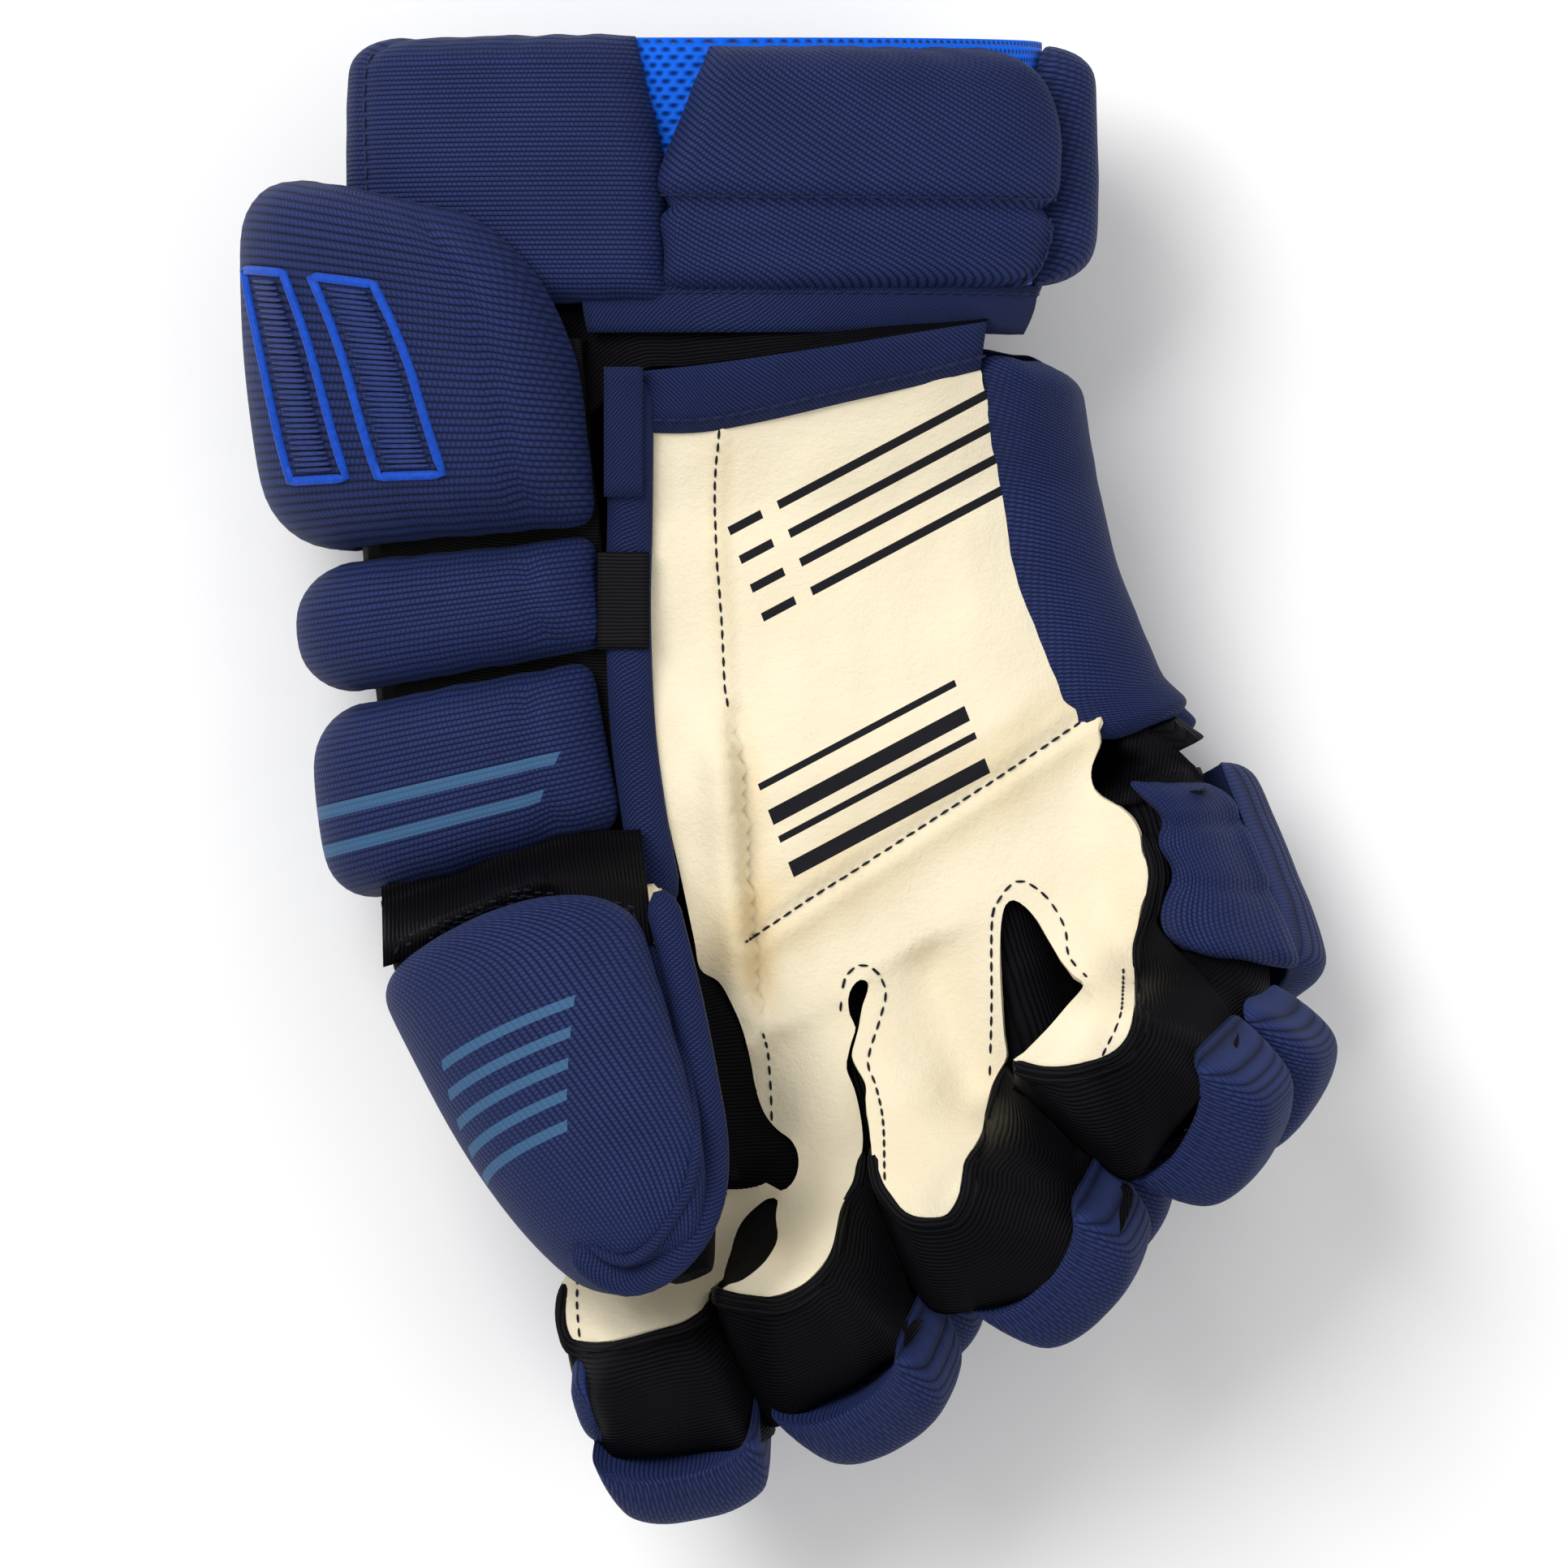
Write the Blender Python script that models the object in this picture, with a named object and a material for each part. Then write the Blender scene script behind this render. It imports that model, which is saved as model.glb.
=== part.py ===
"""Right-hand ice hockey glove lying on its padded back with the palm up.

+X points to the little-finger side, +Y to the cuff and +Z out of the palm. The origin is on the
floor under the middle of the glove. Sizes are in millimetres and become metres when a mesh is made.
"""
import math

import bpy
import numpy as np
from mathutils import Matrix

# Fit
CLEARANCE = 0.4
PLATE_PLAY = 0.8
PLATE_THICKNESS = 1.5
LINER_THICKNESS = 1.2
LINER_GAP = 0.2
SUEDE_THICKNESS = 1.6
SLEEVE_THICKNESS = 1.2
FLOOR_PRESS = 1.0

# Hand
HAND_WIDTH = 152.0
HAND_DEPTH = 44.0
HAND_POWER = 2.5
BACK_ROLL_THICKNESS = 15.0
WRIST_ROLL_THICKNESS = 19.0
SIDE_PANEL_THICKNESS = 7.5
ROLL_GAP = 1.4
ROLL_EDGE = 9.0

# Lines across the hand: where each crosses x = 0 and how far it rises per millimetre towards +X
WRIST_LINE = 106.0
MIDDLE_LINE = 58.5
THUMB_BASE_LINE = 34.5
KNUCKLE_ROLL_LINE = -0.5
KNUCKLE_LINE = -39.0
WRIST_SLOPE = -0.24
MIDDLE_SLOPE = 0.10
THUMB_BASE_SLOPE = 0.17
KNUCKLE_ROLL_SLOPE = 0.29
KNUCKLE_SLOPE = 0.526

# Cuff
CUFF_LENGTH = 61.5
CUFF_START = 99.0
CUFF_PAD_THICKNESS = 11.0
CUFF_WIDTH = 163.0
CUFF_DEPTH = 62.0
CUFF_POWER = 2.7
CUFF_SWING = 4.5
CUFF_CENTRE = -13.5

# Fingers
FINGER_WIDTH = 38.5
FINGER_GAP = 1.4
FINGER_DEPTH = 29.0
FINGER_POWER = 2.5
FINGER_PAD_THICKNESS = 13.5
FINGER_TIP_PAD_THICKNESS = 16.0
FINGER_BEND = 17.0
FINGER_TIP_ROUND = 9.0
PAD_JOINT_LAP = 3.0
PAD_BEND_GAP = 0.22
FINGER_TIP_NARROW = 0.895
INDEX_X = -31.0
KNUCKLE_HEIGHT = 32.0
STALL_START = 3.0

# For each finger: its place in the row, the knuckle's lift, the way from knuckle to tip, the lengths of
# its two parts, the direction its back faces and how far its tip turns towards the little finger
FINGERS = {
    "index": (0, 0.0, (4.6, -79.5, 42.5), 55.0, 49.0, (0.20, -0.50, -0.84), 6.0),
    "middle": (1, 0.0, (1.4, -84.3, 47.5), 61.0, 53.0, (0.46, -0.44, -0.78), 16.0),
    "ring": (2, 1.5, (4.8, -77.2, 50.0), 60.0, 53.0, (0.46, -0.46, -0.74), 28.0),
    "little": (3, 5.0, (-1.2, -66.4, 43.6), 52.5, 46.2, (0.67, -0.41, -0.61), 30.0),
}

# Thumb
THUMB_ROOT = (-55.0, -24.0, 60.0)
THUMB_LENGTH = 92.0
THUMB_HEADING = (0.30, -0.90, 0.27)
THUMB_ROOT_WIDTH = 54.0
THUMB_TIP_WIDTH = 40.0
THUMB_CAP_THICKNESS = 10.0
THUMB_FLATNESS = 0.8
THUMB_FACING = (-0.35, 0.0, 1.0)

NAVY = (0.018, 0.028, 0.115)
TAPE_NAVY = (0.022, 0.033, 0.120)
BLACK = (0.006, 0.006, 0.007)
CREAM = (0.87, 0.76, 0.50)
ROYAL_BLUE = (0.0, 0.10, 0.68)
PLASTIC = (0.60, 0.60, 0.58)

PAD_START = CLEARANCE + PLATE_THICKNESS + PLATE_PLAY
TIP_PAD_START = CLEARANCE + 0.3
BACK_HEIGHT = PAD_START + BACK_ROLL_THICKNESS - FLOOR_PRESS


def unit(vector):
    vector = np.asarray(vector, float)
    return vector / np.linalg.norm(vector)


def rounded(angle, half_width, half_height, power):
    """Point of a rounded box section, the angle measured from its right side."""
    across = math.cos(math.radians(angle))
    up = math.sin(math.radians(angle))
    return (
        half_width * math.copysign(abs(across) ** (2 / power), across),
        half_height * math.copysign(abs(up) ** (2 / power), up),
    )


class HandForm:
    """The inside of the hand: slanted sections from the knuckles to the wrist."""

    lines = (KNUCKLE_LINE, KNUCKLE_ROLL_LINE, THUMB_BASE_LINE, MIDDLE_LINE, WRIST_LINE)
    slopes = (
        KNUCKLE_SLOPE, KNUCKLE_ROLL_SLOPE, THUMB_BASE_SLOPE, MIDDLE_SLOPE, WRIST_SLOPE,
    )
    centres = (20.0, -4.0, -12.0, -15.5, -21.0)
    widths = (0.93, 1.04, 1.01, 1.0, 1.02)
    depths = (0.74, 0.92, 0.98, 1.05, 1.55)

    def section(self, line):
        centre = np.interp(line, self.lines, self.centres)
        width = np.interp(line, self.lines, self.widths) * HAND_WIDTH
        depth = np.interp(line, self.lines, self.depths) * HAND_DEPTH
        return centre, BACK_HEIGHT + depth / 2, width / 2, depth / 2

    def point(self, angle, line, height):
        centre, middle, half_width, half_depth = self.section(line)
        x, z = rounded(angle, half_width + height, half_depth + height, HAND_POWER)
        x += centre
        y = line + np.interp(line, self.lines, self.slopes) * x
        return np.array((x, y, z + middle))


class CuffForm:
    """The inside of the cuff: one rounded section, narrowed towards the wrist."""

    inset = CUFF_PAD_THICKNESS + PAD_START
    bottom = BACK_HEIGHT + CUFF_SWING

    def point(self, angle, line, height):
        narrow = 1 - 0.06 * max(0.0, 1 - (line - CUFF_START) / 16.0)
        half_width = CUFF_WIDTH / 2 * narrow - self.inset
        half_depth = CUFF_DEPTH / 2 - self.inset
        x, z = rounded(angle, half_width + height, half_depth + height, CUFF_POWER)
        return np.array((x + CUFF_CENTRE, line, z + self.bottom + CUFF_DEPTH / 2))


class FingerForm:
    """A finger stall bent at its middle joint."""

    def __init__(self, place, lift, reach, base_length, tip_length, back, twist):
        along = unit((1.0, KNUCKLE_SLOPE, 0.0))
        start = np.array((INDEX_X, KNUCKLE_LINE + KNUCKLE_SLOPE * INDEX_X, KNUCKLE_HEIGHT + lift))
        self.knuckle = start + along * place * (FINGER_WIDTH + FINGER_GAP)
        self.base_length = base_length
        self.tip_length = tip_length
        tip = self.knuckle + np.array(reach)
        distance = np.linalg.norm(tip - self.knuckle)
        forward = unit(tip - self.knuckle)
        outward = unit(np.array(back) - np.dot(back, forward) * forward)
        ahead = (base_length ** 2 - tip_length ** 2 + distance ** 2) / (2 * distance)
        aside = math.sqrt(base_length ** 2 - ahead ** 2)
        self.middle = self.knuckle + ahead * forward + aside * outward
        self.base_axis = unit(self.middle - self.knuckle)
        self.tip_axis = unit(tip - self.middle)
        self.side = unit(np.cross(forward, outward))
        self.base_back = unit(np.cross(self.side, self.base_axis))
        self.tip_back = unit(np.cross(self.side, self.tip_axis))
        self.twist = math.radians(twist)
        self.bend = math.acos(np.clip(np.dot(self.base_axis, self.tip_axis), -1, 1))
        self.radius = FINGER_BEND / math.tan(self.bend / 2)
        self.straight = base_length - FINGER_BEND
        self.arc = self.radius * self.bend
        self.length = self.straight + self.arc + tip_length - FINGER_BEND
        self.half_width = FINGER_WIDTH / 2 - PAD_START
        self.half_depth = FINGER_DEPTH / 2

    def bent(self, along):
        """How much of the bend lies before a distance from the knuckle, from 0 to 1."""
        return min(1.0, max(0.0, (along - self.straight) / self.arc))

    def frame(self, along):
        """Centre, side and back direction of the stall at a distance from the knuckle."""
        turn = self.bend * self.bent(along)
        start = self.knuckle + self.base_axis * min(along, self.straight)
        centre = start - self.base_back * self.radius * (1 - math.cos(turn))
        centre = centre + self.base_axis * self.radius * math.sin(turn)
        centre = centre + self.tip_axis * max(0.0, along - self.straight - self.arc)
        back = self.base_back * math.cos(turn) + self.base_axis * math.sin(turn)
        twist = self.twist * self.bent(along)
        side = self.side * math.cos(twist) - back * math.sin(twist)
        return centre, side, back * math.cos(twist) + self.side * math.sin(twist)

    def point(self, angle, along, height):
        centre, side, back = self.frame(along)
        taper = tip_taper(self.length - along, FINGER_TIP_ROUND)
        x, z = rounded(
            angle, self.half_width * taper + height, self.half_depth * taper + height, FINGER_POWER
        )
        return centre + side * x - back * z

    def pad_point(self, across, along, height):
        """Point of a pad on the back of the finger."""
        centre, side, back = self.frame(along)
        half_width = (FINGER_WIDTH / 2 + CLEARANCE) * (1 + (FINGER_TIP_NARROW - 1) * self.bent(along))
        base = PAD_START + (TIP_PAD_START - PAD_START) * self.bent(along)
        x, z = rounded(across, half_width, self.half_depth + base, FINGER_POWER)
        return centre + side * x + back * (height - z)


class ThumbForm:
    """The thumb stall: straight and narrowing towards its tip."""

    axis = unit(THUMB_HEADING)
    side = unit(np.cross(axis, THUMB_FACING) * -1)
    up = unit(np.cross(side, axis) * -1)
    length = THUMB_LENGTH

    def half(self, along):
        return np.interp(
            along, (0.0, THUMB_LENGTH), (THUMB_ROOT_WIDTH / 2, THUMB_TIP_WIDTH / 2)
        )

    def point(self, angle, along, height):
        half = self.half(along) * tip_taper(self.length - along, 12.0)
        x, z = rounded(angle, half + height, half * THUMB_FLATNESS + height, 2.3)
        return np.array(THUMB_ROOT) + self.axis * along + self.side * x + self.up * z


def tip_taper(left, reach):
    """How far a stall has drawn in near its closed end."""
    near = max(0.0, 1 - max(left, 0.0) / reach)
    return max(0.12, (1 - near ** 2.6) ** (1 / 2.6)) if near < 1 else 0.12


def make(name, points, faces, colour):
    mesh = bpy.data.meshes.new(name)
    mesh.from_pydata([tuple(p * 0.001) for p in points], [], faces)
    mesh.validate()
    thing = bpy.data.objects.new(name, mesh)
    bpy.context.scene.collection.objects.link(thing)
    material = bpy.data.materials.new(name)
    material.use_nodes = True
    shader = material.node_tree.nodes["Principled BSDF"]
    shader.inputs["Base Color"].default_value = (*colour, 1.0)
    shader.inputs["Roughness"].default_value = 0.8
    mesh.materials.append(material)
    face_out(mesh)
    return thing


def face_out(mesh):
    """Turn every face over if the closed mesh came out with its inside showing."""
    volume = 0.0
    for polygon in mesh.polygons:
        corners = [mesh.vertices[i].co for i in polygon.vertices]
        for second, third in zip(corners[1:-1], corners[2:]):
            volume += corners[0].dot(second.cross(third))
    if volume < 0:
        mesh.flip_normals()


def grid_faces(columns, rows, first, flip):
    """Quads between the points of a grid stored column by column."""
    faces = []
    for i in range(columns - 1):
        for j in range(rows - 1):
            a = first + i * rows + j
            quad = (a, a + rows, a + rows + 1, a + 1)
            faces.append(quad[::-1] if flip else quad)
    return faces


def rim(columns, rows):
    """The grid's border points in order round it."""
    low = [i * rows for i in range(columns)]
    end = [(columns - 1) * rows + j for j in range(1, rows)]
    high = [i * rows + rows - 1 for i in range(columns - 2, -1, -1)]
    start = [j for j in range(rows - 2, 0, -1)]
    return low + end + high + start


def spaced(size, edge, step):
    """Grid lines close together in the rounded edges and even between them."""
    inner = size - 2 * edge
    count = max(1, round(inner / step))
    middle = [edge + inner * k / count for k in range(count + 1)]
    return [0.0, 0.3 * edge, *middle, size - 0.3 * edge, size]


def inset(distance, radius):
    """How far a rounded corner has drawn the border in, near the other border."""
    if distance >= radius:
        return 0.0
    return radius - math.sqrt(max(0.0, radius ** 2 - (radius - distance) ** 2))


def rise(distance, edge):
    return math.sqrt(max(0.0, 1 - (1 - min(distance / edge, 1.0)) ** 2))


def pad(name, place, length, width, thickness, colour, corners=(6, 6, 6, 6), edge=7.0, step=13.0,
        crown=0.12, on_floor=False, row_step=13.0):
    """A stuffed cushion sewn down along its border.

    place turns a distance along, a distance across and a height into a point. corners are the
    border's radii at the start (low, high side) and at the end (low, high side).
    """
    edge = min(edge, 0.42 * width, 0.42 * length)
    rows = spaced(width, edge, row_step)
    shares = [d / length for d in spaced(length, edge, step)]
    top, bottom = [], []
    for share in shares:
        for across in rows:
            start = max(inset(across, corners[0]), inset(width - across, corners[1]))
            end = max(inset(across, corners[2]), inset(width - across, corners[3]))
            along = start + (length - start - end) * share
            fade = rise(min(along - start, length - end - along), edge)
            fade *= rise(min(across, width - across), edge)
            bulge = 1 - crown * (2 * across / width - 1) ** 2
            full = thickness(along / length) if callable(thickness) else thickness
            top.append(place(along, across, full * fade * bulge))
            bottom.append(place(along, across, 0.0))
    if on_floor:
        for point in top:
            point[2] = max(point[2], 0.0)
    columns, count = len(shares), len(rows)
    border = set(rim(columns, count))
    points = list(top)
    below = {}
    for index, point in enumerate(bottom):
        if index in border:
            below[index] = index
        else:
            below[index] = len(points)
            points.append(point)
    faces = grid_faces(columns, count, 0, False)
    underside = [tuple(below[i] for i in (face[2], face[1], face[0], face[3])) for face in faces]
    return make(name, points, faces + underside, colour)


def sheet(name, place, columns, rows, low, high, colour):
    """A sheet of even thickness; place turns two shares and a height into a point."""
    points = []
    for height in (high, low):
        for share in columns:
            points += [place(share, other, height) for other in rows]
    count = len(columns) * len(rows)
    faces = grid_faces(len(columns), len(rows), 0, False)
    faces += grid_faces(len(columns), len(rows), count, True)
    border = rim(len(columns), len(rows))
    for a, b in zip(border, border[1:] + border[:1]):
        faces.append((b, a, a + count, b + count))
    return make(name, points, faces, colour)


def even(count):
    return [k / count for k in range(count + 1)]


def on_form(form, first_angle, last_angle, first_line, last_line, base):
    """Lay a flat panel on a form, true to length round it; also gives its length and width."""
    middle = (first_line + last_line) / 2
    angles = np.linspace(first_angle, last_angle, 97)
    spots = [form.point(a, middle, base) for a in angles]
    steps = [np.linalg.norm(b - a) for a, b in zip(spots, spots[1:])]
    travel = np.concatenate(([0.0], np.cumsum(steps)))

    def place(along, across, height):
        angle = np.interp(along, travel, angles)
        return form.point(angle, first_line + across, base + height)

    return place, travel[-1], last_line - first_line


def stall(name, form, start, colour, around=20):
    """A tube with a closed tip that lines one finger or the thumb."""
    outer_lines = stall_lines(form, start, form.length)
    inner_lines = stall_lines(form, start, form.length - SLEEVE_THICKNESS)
    angles = [360.0 * k / around for k in range(around)]
    points, faces = [], []
    for along in outer_lines:
        points += [form.point(a, along, 0.0) for a in angles]
    outer_rings = len(outer_lines)
    for along in inner_lines:
        points += [form.point(a, along, -SLEEVE_THICKNESS) for a in angles]
    rings = outer_rings + len(inner_lines)

    def strip(a, b):
        for k in range(around):
            n = (k + 1) % around
            faces.append((a * around + k, a * around + n, b * around + n, b * around + k))

    for ring in range(outer_rings - 1):
        strip(ring, ring + 1)
    for ring in range(outer_rings, rings - 1):
        strip(ring + 1, ring)
    strip(outer_rings, 0)
    tip = (outer_rings - 1) * around
    faces.append(tuple(range(tip, tip + around)))
    inner_tip = (rings - 1) * around
    faces.append(tuple(range(inner_tip + around - 1, inner_tip - 1, -1)))
    return make(name, points, faces, colour)


def stall_lines(form, start, end):
    """Where the rings of a stall stand, with more of them in its bend and at its tip."""
    lines = [start]
    bend = getattr(form, "straight", None)
    if bend is not None:
        lines += [bend * 0.5, bend]
        lines += [bend + form.arc * share for share in (0.2, 0.4, 0.6, 0.8, 1.0)]
    else:
        lines += [form.length * 0.35, form.length * 0.65]
    return lines + [end - 9.0, end - 5.5, end - 2.4, end - 0.8, end]


def cord(name, path, half_width, half_height, colour, up=(0.0, 0.0, 1.0), around=8):
    """A flattened round strip along a path."""
    points, faces = [], []
    for k, spot in enumerate(path):
        ahead = unit(path[min(k + 1, len(path) - 1)] - path[max(k - 1, 0)])
        side = unit(np.cross(ahead, up))
        lift = np.cross(side, ahead)
        for n in range(around):
            turn = 2 * math.pi * n / around
            points.append(
                spot + side * half_width * math.cos(turn) + lift * half_height * math.sin(turn)
            )
    for k in range(len(path) - 1):
        for n in range(around):
            m = (n + 1) % around
            faces.append((k * around + n, k * around + m, (k + 1) * around + m, (k + 1) * around + n))
    faces.append(tuple(range(around - 1, -1, -1)))
    last = (len(path) - 1) * around
    faces.append(tuple(range(last, last + around)))
    return make(name, points, faces, colour)


def add_hinge(name, spot):
    """An empty on a joint's axis, for the pieces that turn with it."""
    empty = bpy.data.objects.new(name, None)
    empty.location = tuple(np.asarray(spot) * 0.001)
    bpy.context.scene.collection.objects.link(empty)
    return empty


def hang(hinge, *things):
    for thing in things:
        thing.parent = hinge
        thing.matrix_parent_inverse = Matrix.Translation(-hinge.location)


def roll(name, form, angles, lines, thumb_side, back, pinky_side, corners, base=PAD_START):
    """A roll that wraps from the thumb side round the back to the little-finger side."""
    place, length, width = on_form(form, angles[0], angles[1], lines[0], lines[1], base)

    def thickness(share):
        return np.interp(share, (0.0, 0.3, 0.5, 0.8, 1.0), (thumb_side, thumb_side, back, back, pinky_side))

    return pad(name, place, length, width, thickness, NAVY, corners, ROLL_EDGE, 14.0, 0.14, True)


def seam_angle(line):
    """Where the seam between the palm and the thumb-side strip runs."""
    return np.interp(line, (-36.0, -20.0, 0.0, 40.0, 77.0), (109.0, 105.0, 98.0, 92.0, 88.5))


def edge_angle(line):
    """Where the binding along the palm's thumb-side edge runs."""
    return np.interp(line, (-21.0, -0.5, 17.0, 84.0), (112.0, 104.4, 102.2, 101.2))


def build_hand():
    hand = HandForm()
    half = ROLL_GAP / 2
    things = [
        roll("wrist_roll", hand, (103, 344), (MIDDLE_LINE + half, WRIST_LINE), WRIST_ROLL_THICKNESS,
             BACK_ROLL_THICKNESS, 7.0, (4, 26, 6, 6)),
        roll("middle_roll", hand, (103.6, 344), (THUMB_BASE_LINE + half, MIDDLE_LINE - half), 13.0,
             BACK_ROLL_THICKNESS, 7.0, (4, 4, 6, 6)),
        roll("thumb_base_roll", hand, (106.4, 344), (KNUCKLE_ROLL_LINE + half, THUMB_BASE_LINE - half),
             13.0, BACK_ROLL_THICKNESS, 7.0, (6, 4, 6, 6)),
        roll("knuckle_roll", hand, (230, 345), (KNUCKLE_LINE + 5.0, KNUCKLE_ROLL_LINE - half),
             13.0, BACK_ROLL_THICKNESS, 9.0, (8, 6, 8, 6)),
    ]

    def plate(share, other, height):
        first, last = KNUCKLE_ROLL_LINE + 3.5, WRIST_LINE - 20.0
        return hand.point(238 + 84 * share, first + (last - first) * other, height)

    things.append(
        sheet("backhand_plate", plate, even(12), even(8), CLEARANCE, CLEARANCE + PLATE_THICKNESS, PLASTIC)
    )

    def palm(share, other, height):
        first = KNUCKLE_LINE + 3.0
        last = 77.0 + 8.0 * (1 - share)
        line = first + (last - first) * other
        return hand.point(38 + (seam_angle(line) - 38) * share, line, height)

    top = CLEARANCE + SUEDE_THICKNESS
    things.append(sheet("palm", palm, even(10), even(10), CLEARANCE, top, CREAM))

    def crotch(share, other, height):
        first = KNUCKLE_ROLL_LINE - 20.0
        line = first + (77.0 - first) * other
        low = seam_angle(line) + 0.5
        return hand.point(low + (edge_angle(line) - 1.6 - low) * share, line, height)

    things.append(sheet("thumb_palm_strip", crotch, even(2), even(10), CLEARANCE, top, CREAM))
    place, length, width = on_form(hand, -14.0, 36.6, KNUCKLE_ROLL_LINE - 20.0, 90.0, CLEARANCE)
    things.append(
        pad("pinky_side_panel", place, length, width, SIDE_PANEL_THICKNESS, NAVY, (10, 8, 10, 8), 8.0, 14.0)
    )
    lines = np.linspace(KNUCKLE_ROLL_LINE - 6.0, 84.0, 12)
    edge = [hand.point(edge_angle(line), line, 3.2) for line in lines]
    things.append(cord("edge_binding", edge, 2.4, 2.6, TAPE_NAVY))
    heel = []
    for share in np.linspace(0.02, 0.98, 9):
        heel.append(hand.point(40 + 60 * share, 87.5 - 8.0 * share, 3.0))
    things.append(cord("heel_binding", heel, 4.5, 2.0, TAPE_NAVY))

    def gusset(share, other, height):
        first, last = KNUCKLE_LINE + 3.0, KNUCKLE_ROLL_LINE - 20.8
        return hand.point(-12 + 48 * share, first + (last - first) * other, height)

    things.append(sheet("little_gusset", gusset, even(6), even(2), CLEARANCE, 1.8, BLACK))
    for name, first, last, colour in (
        ("edge_tag", 27.0, 47.0, BLACK),
        ("wrist_loop", 62.0, 82.0, TAPE_NAVY),
    ):
        def tag(share, other, height, first=first, last=last):
            line = first + (last - first) * other
            return hand.point(edge_angle(line) - 1.8 + 2.9 * share, line, height)

        things.append(sheet(name, tag, even(2), even(4), 6.3, 7.3, colour))
    return hand, things


def build_cuff():
    cuff = CuffForm()
    end = CUFF_START + CUFF_LENGTH
    things = []
    panels = (
        ("cuff_thumb_pad", (98.5, 186), (CUFF_START + 3.3, end), (5, 12, 5, 5), PAD_START),
        ("cuff_palm_pad", (22, 95.5), (CUFF_START + 28, end), (5, 5, 5, 12), PAD_START),
        ("cuff_palm_band", (24, 95.5), (CUFF_START + 7, CUFF_START + 27.4), (5, 5, 5, 5), PAD_START),
        ("cuff_back_pad", (188, 338), (CUFF_START + 1, end), (5, 5, 5, 5), PAD_START),
        ("cuff_pinky_pad", (340, 380), (CUFF_START + 8, end), (6, 6, 6, 6), PAD_START),
    )
    for name, angles, lines, corners, base in panels:
        place, length, width = on_form(cuff, angles[0], angles[1], lines[0], lines[1], base)
        things.append(pad(name, place, length, width, CUFF_PAD_THICKNESS, NAVY, corners, 7.0, 10.0))

    def liner(share, other, height):
        return cuff.point(-40 + 359 * share, CUFF_START + 2 + (CUFF_LENGTH - 5) * other, height)

    things.append(
        sheet("cuff_liner", liner, even(40), even(3), -LINER_THICKNESS - LINER_GAP, -LINER_GAP, ROYAL_BLUE)
    )
    for name, first, last in (("cuff_thumb_plate", 106, 156), ("cuff_back_plate", 205, 325)):
        def plate(share, other, height, first=first, last=last):
            return cuff.point(
                first + (last - first) * share, CUFF_START + 6 + (CUFF_LENGTH - 12) * other, height
            )

        things.append(
            sheet(name, plate, even(12), even(3), CLEARANCE, CLEARANCE + PLATE_THICKNESS, PLASTIC)
        )

    def tape(share, other, height):
        return cuff.point(24 + 71.5 * share, CUFF_START - 2.0 + 8.4 * other, PAD_START + height)

    things.append(sheet("cuff_binding", tape, even(10), even(2), 0.0, 3.0, TAPE_NAVY))
    return cuff, things


def build_thumb():
    thumb = ThumbForm()
    things = [stall("thumb_sleeve", thumb, 4.0, BLACK)]
    place, length, width = on_form(thumb, 66, 236, 6.0, THUMB_LENGTH + 4.0, PAD_START)
    things.append(
        pad("thumb_cap", place, length, width, THUMB_CAP_THICKNESS, NAVY, (5, 16, 5, 16), 8.0, 7.0, 0.1)
    )

    def plate(share, other, height):
        return thumb.point(95 + 125 * share, 12.0 + 48.0 * other, height)

    things.append(
        sheet("thumb_plate", plate, even(12), even(4), CLEARANCE, CLEARANCE + PLATE_THICKNESS, PLASTIC)
    )

    def palm(share, other, height):
        return thumb.point(-110 + 162 * share, 8.0 + 62.0 * other, height)

    things.append(
        sheet("thumb_palm", palm, even(12), even(5), CLEARANCE, CLEARANCE + SUEDE_THICKNESS, CREAM)
    )
    edge = [thumb.point(58.5, along, 3.0) for along in np.linspace(8.0, THUMB_LENGTH - 8.0, 9)]
    things.append(cord("thumb_edge_binding", edge, 2.0, 2.0, TAPE_NAVY))
    return thumb, things


def build_flex_band(hand, thumb):
    def band(share, other, height):
        start = hand.point(108 + 100 * share, KNUCKLE_ROLL_LINE + 0.2, height)
        end = thumb.point(70 + 160 * share, 5.6, height + 1.3)
        return start * (1 - other) + end * other

    return sheet("thumb_flex_band", band, even(18), even(3), 2.2, 4.2, BLACK)


def build_wrist_gusset(hand, cuff):
    def gusset(share, other, height):
        start = hand.point(42 + 54 * share, 88.0, height - 2.0)
        end = cuff.point(30 + 62 * share, CUFF_START + 1.5, height)
        return start * (1 - other) + end * other

    return sheet("wrist_gusset", gusset, even(10), even(2), -1.6, -0.3, BLACK)


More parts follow.
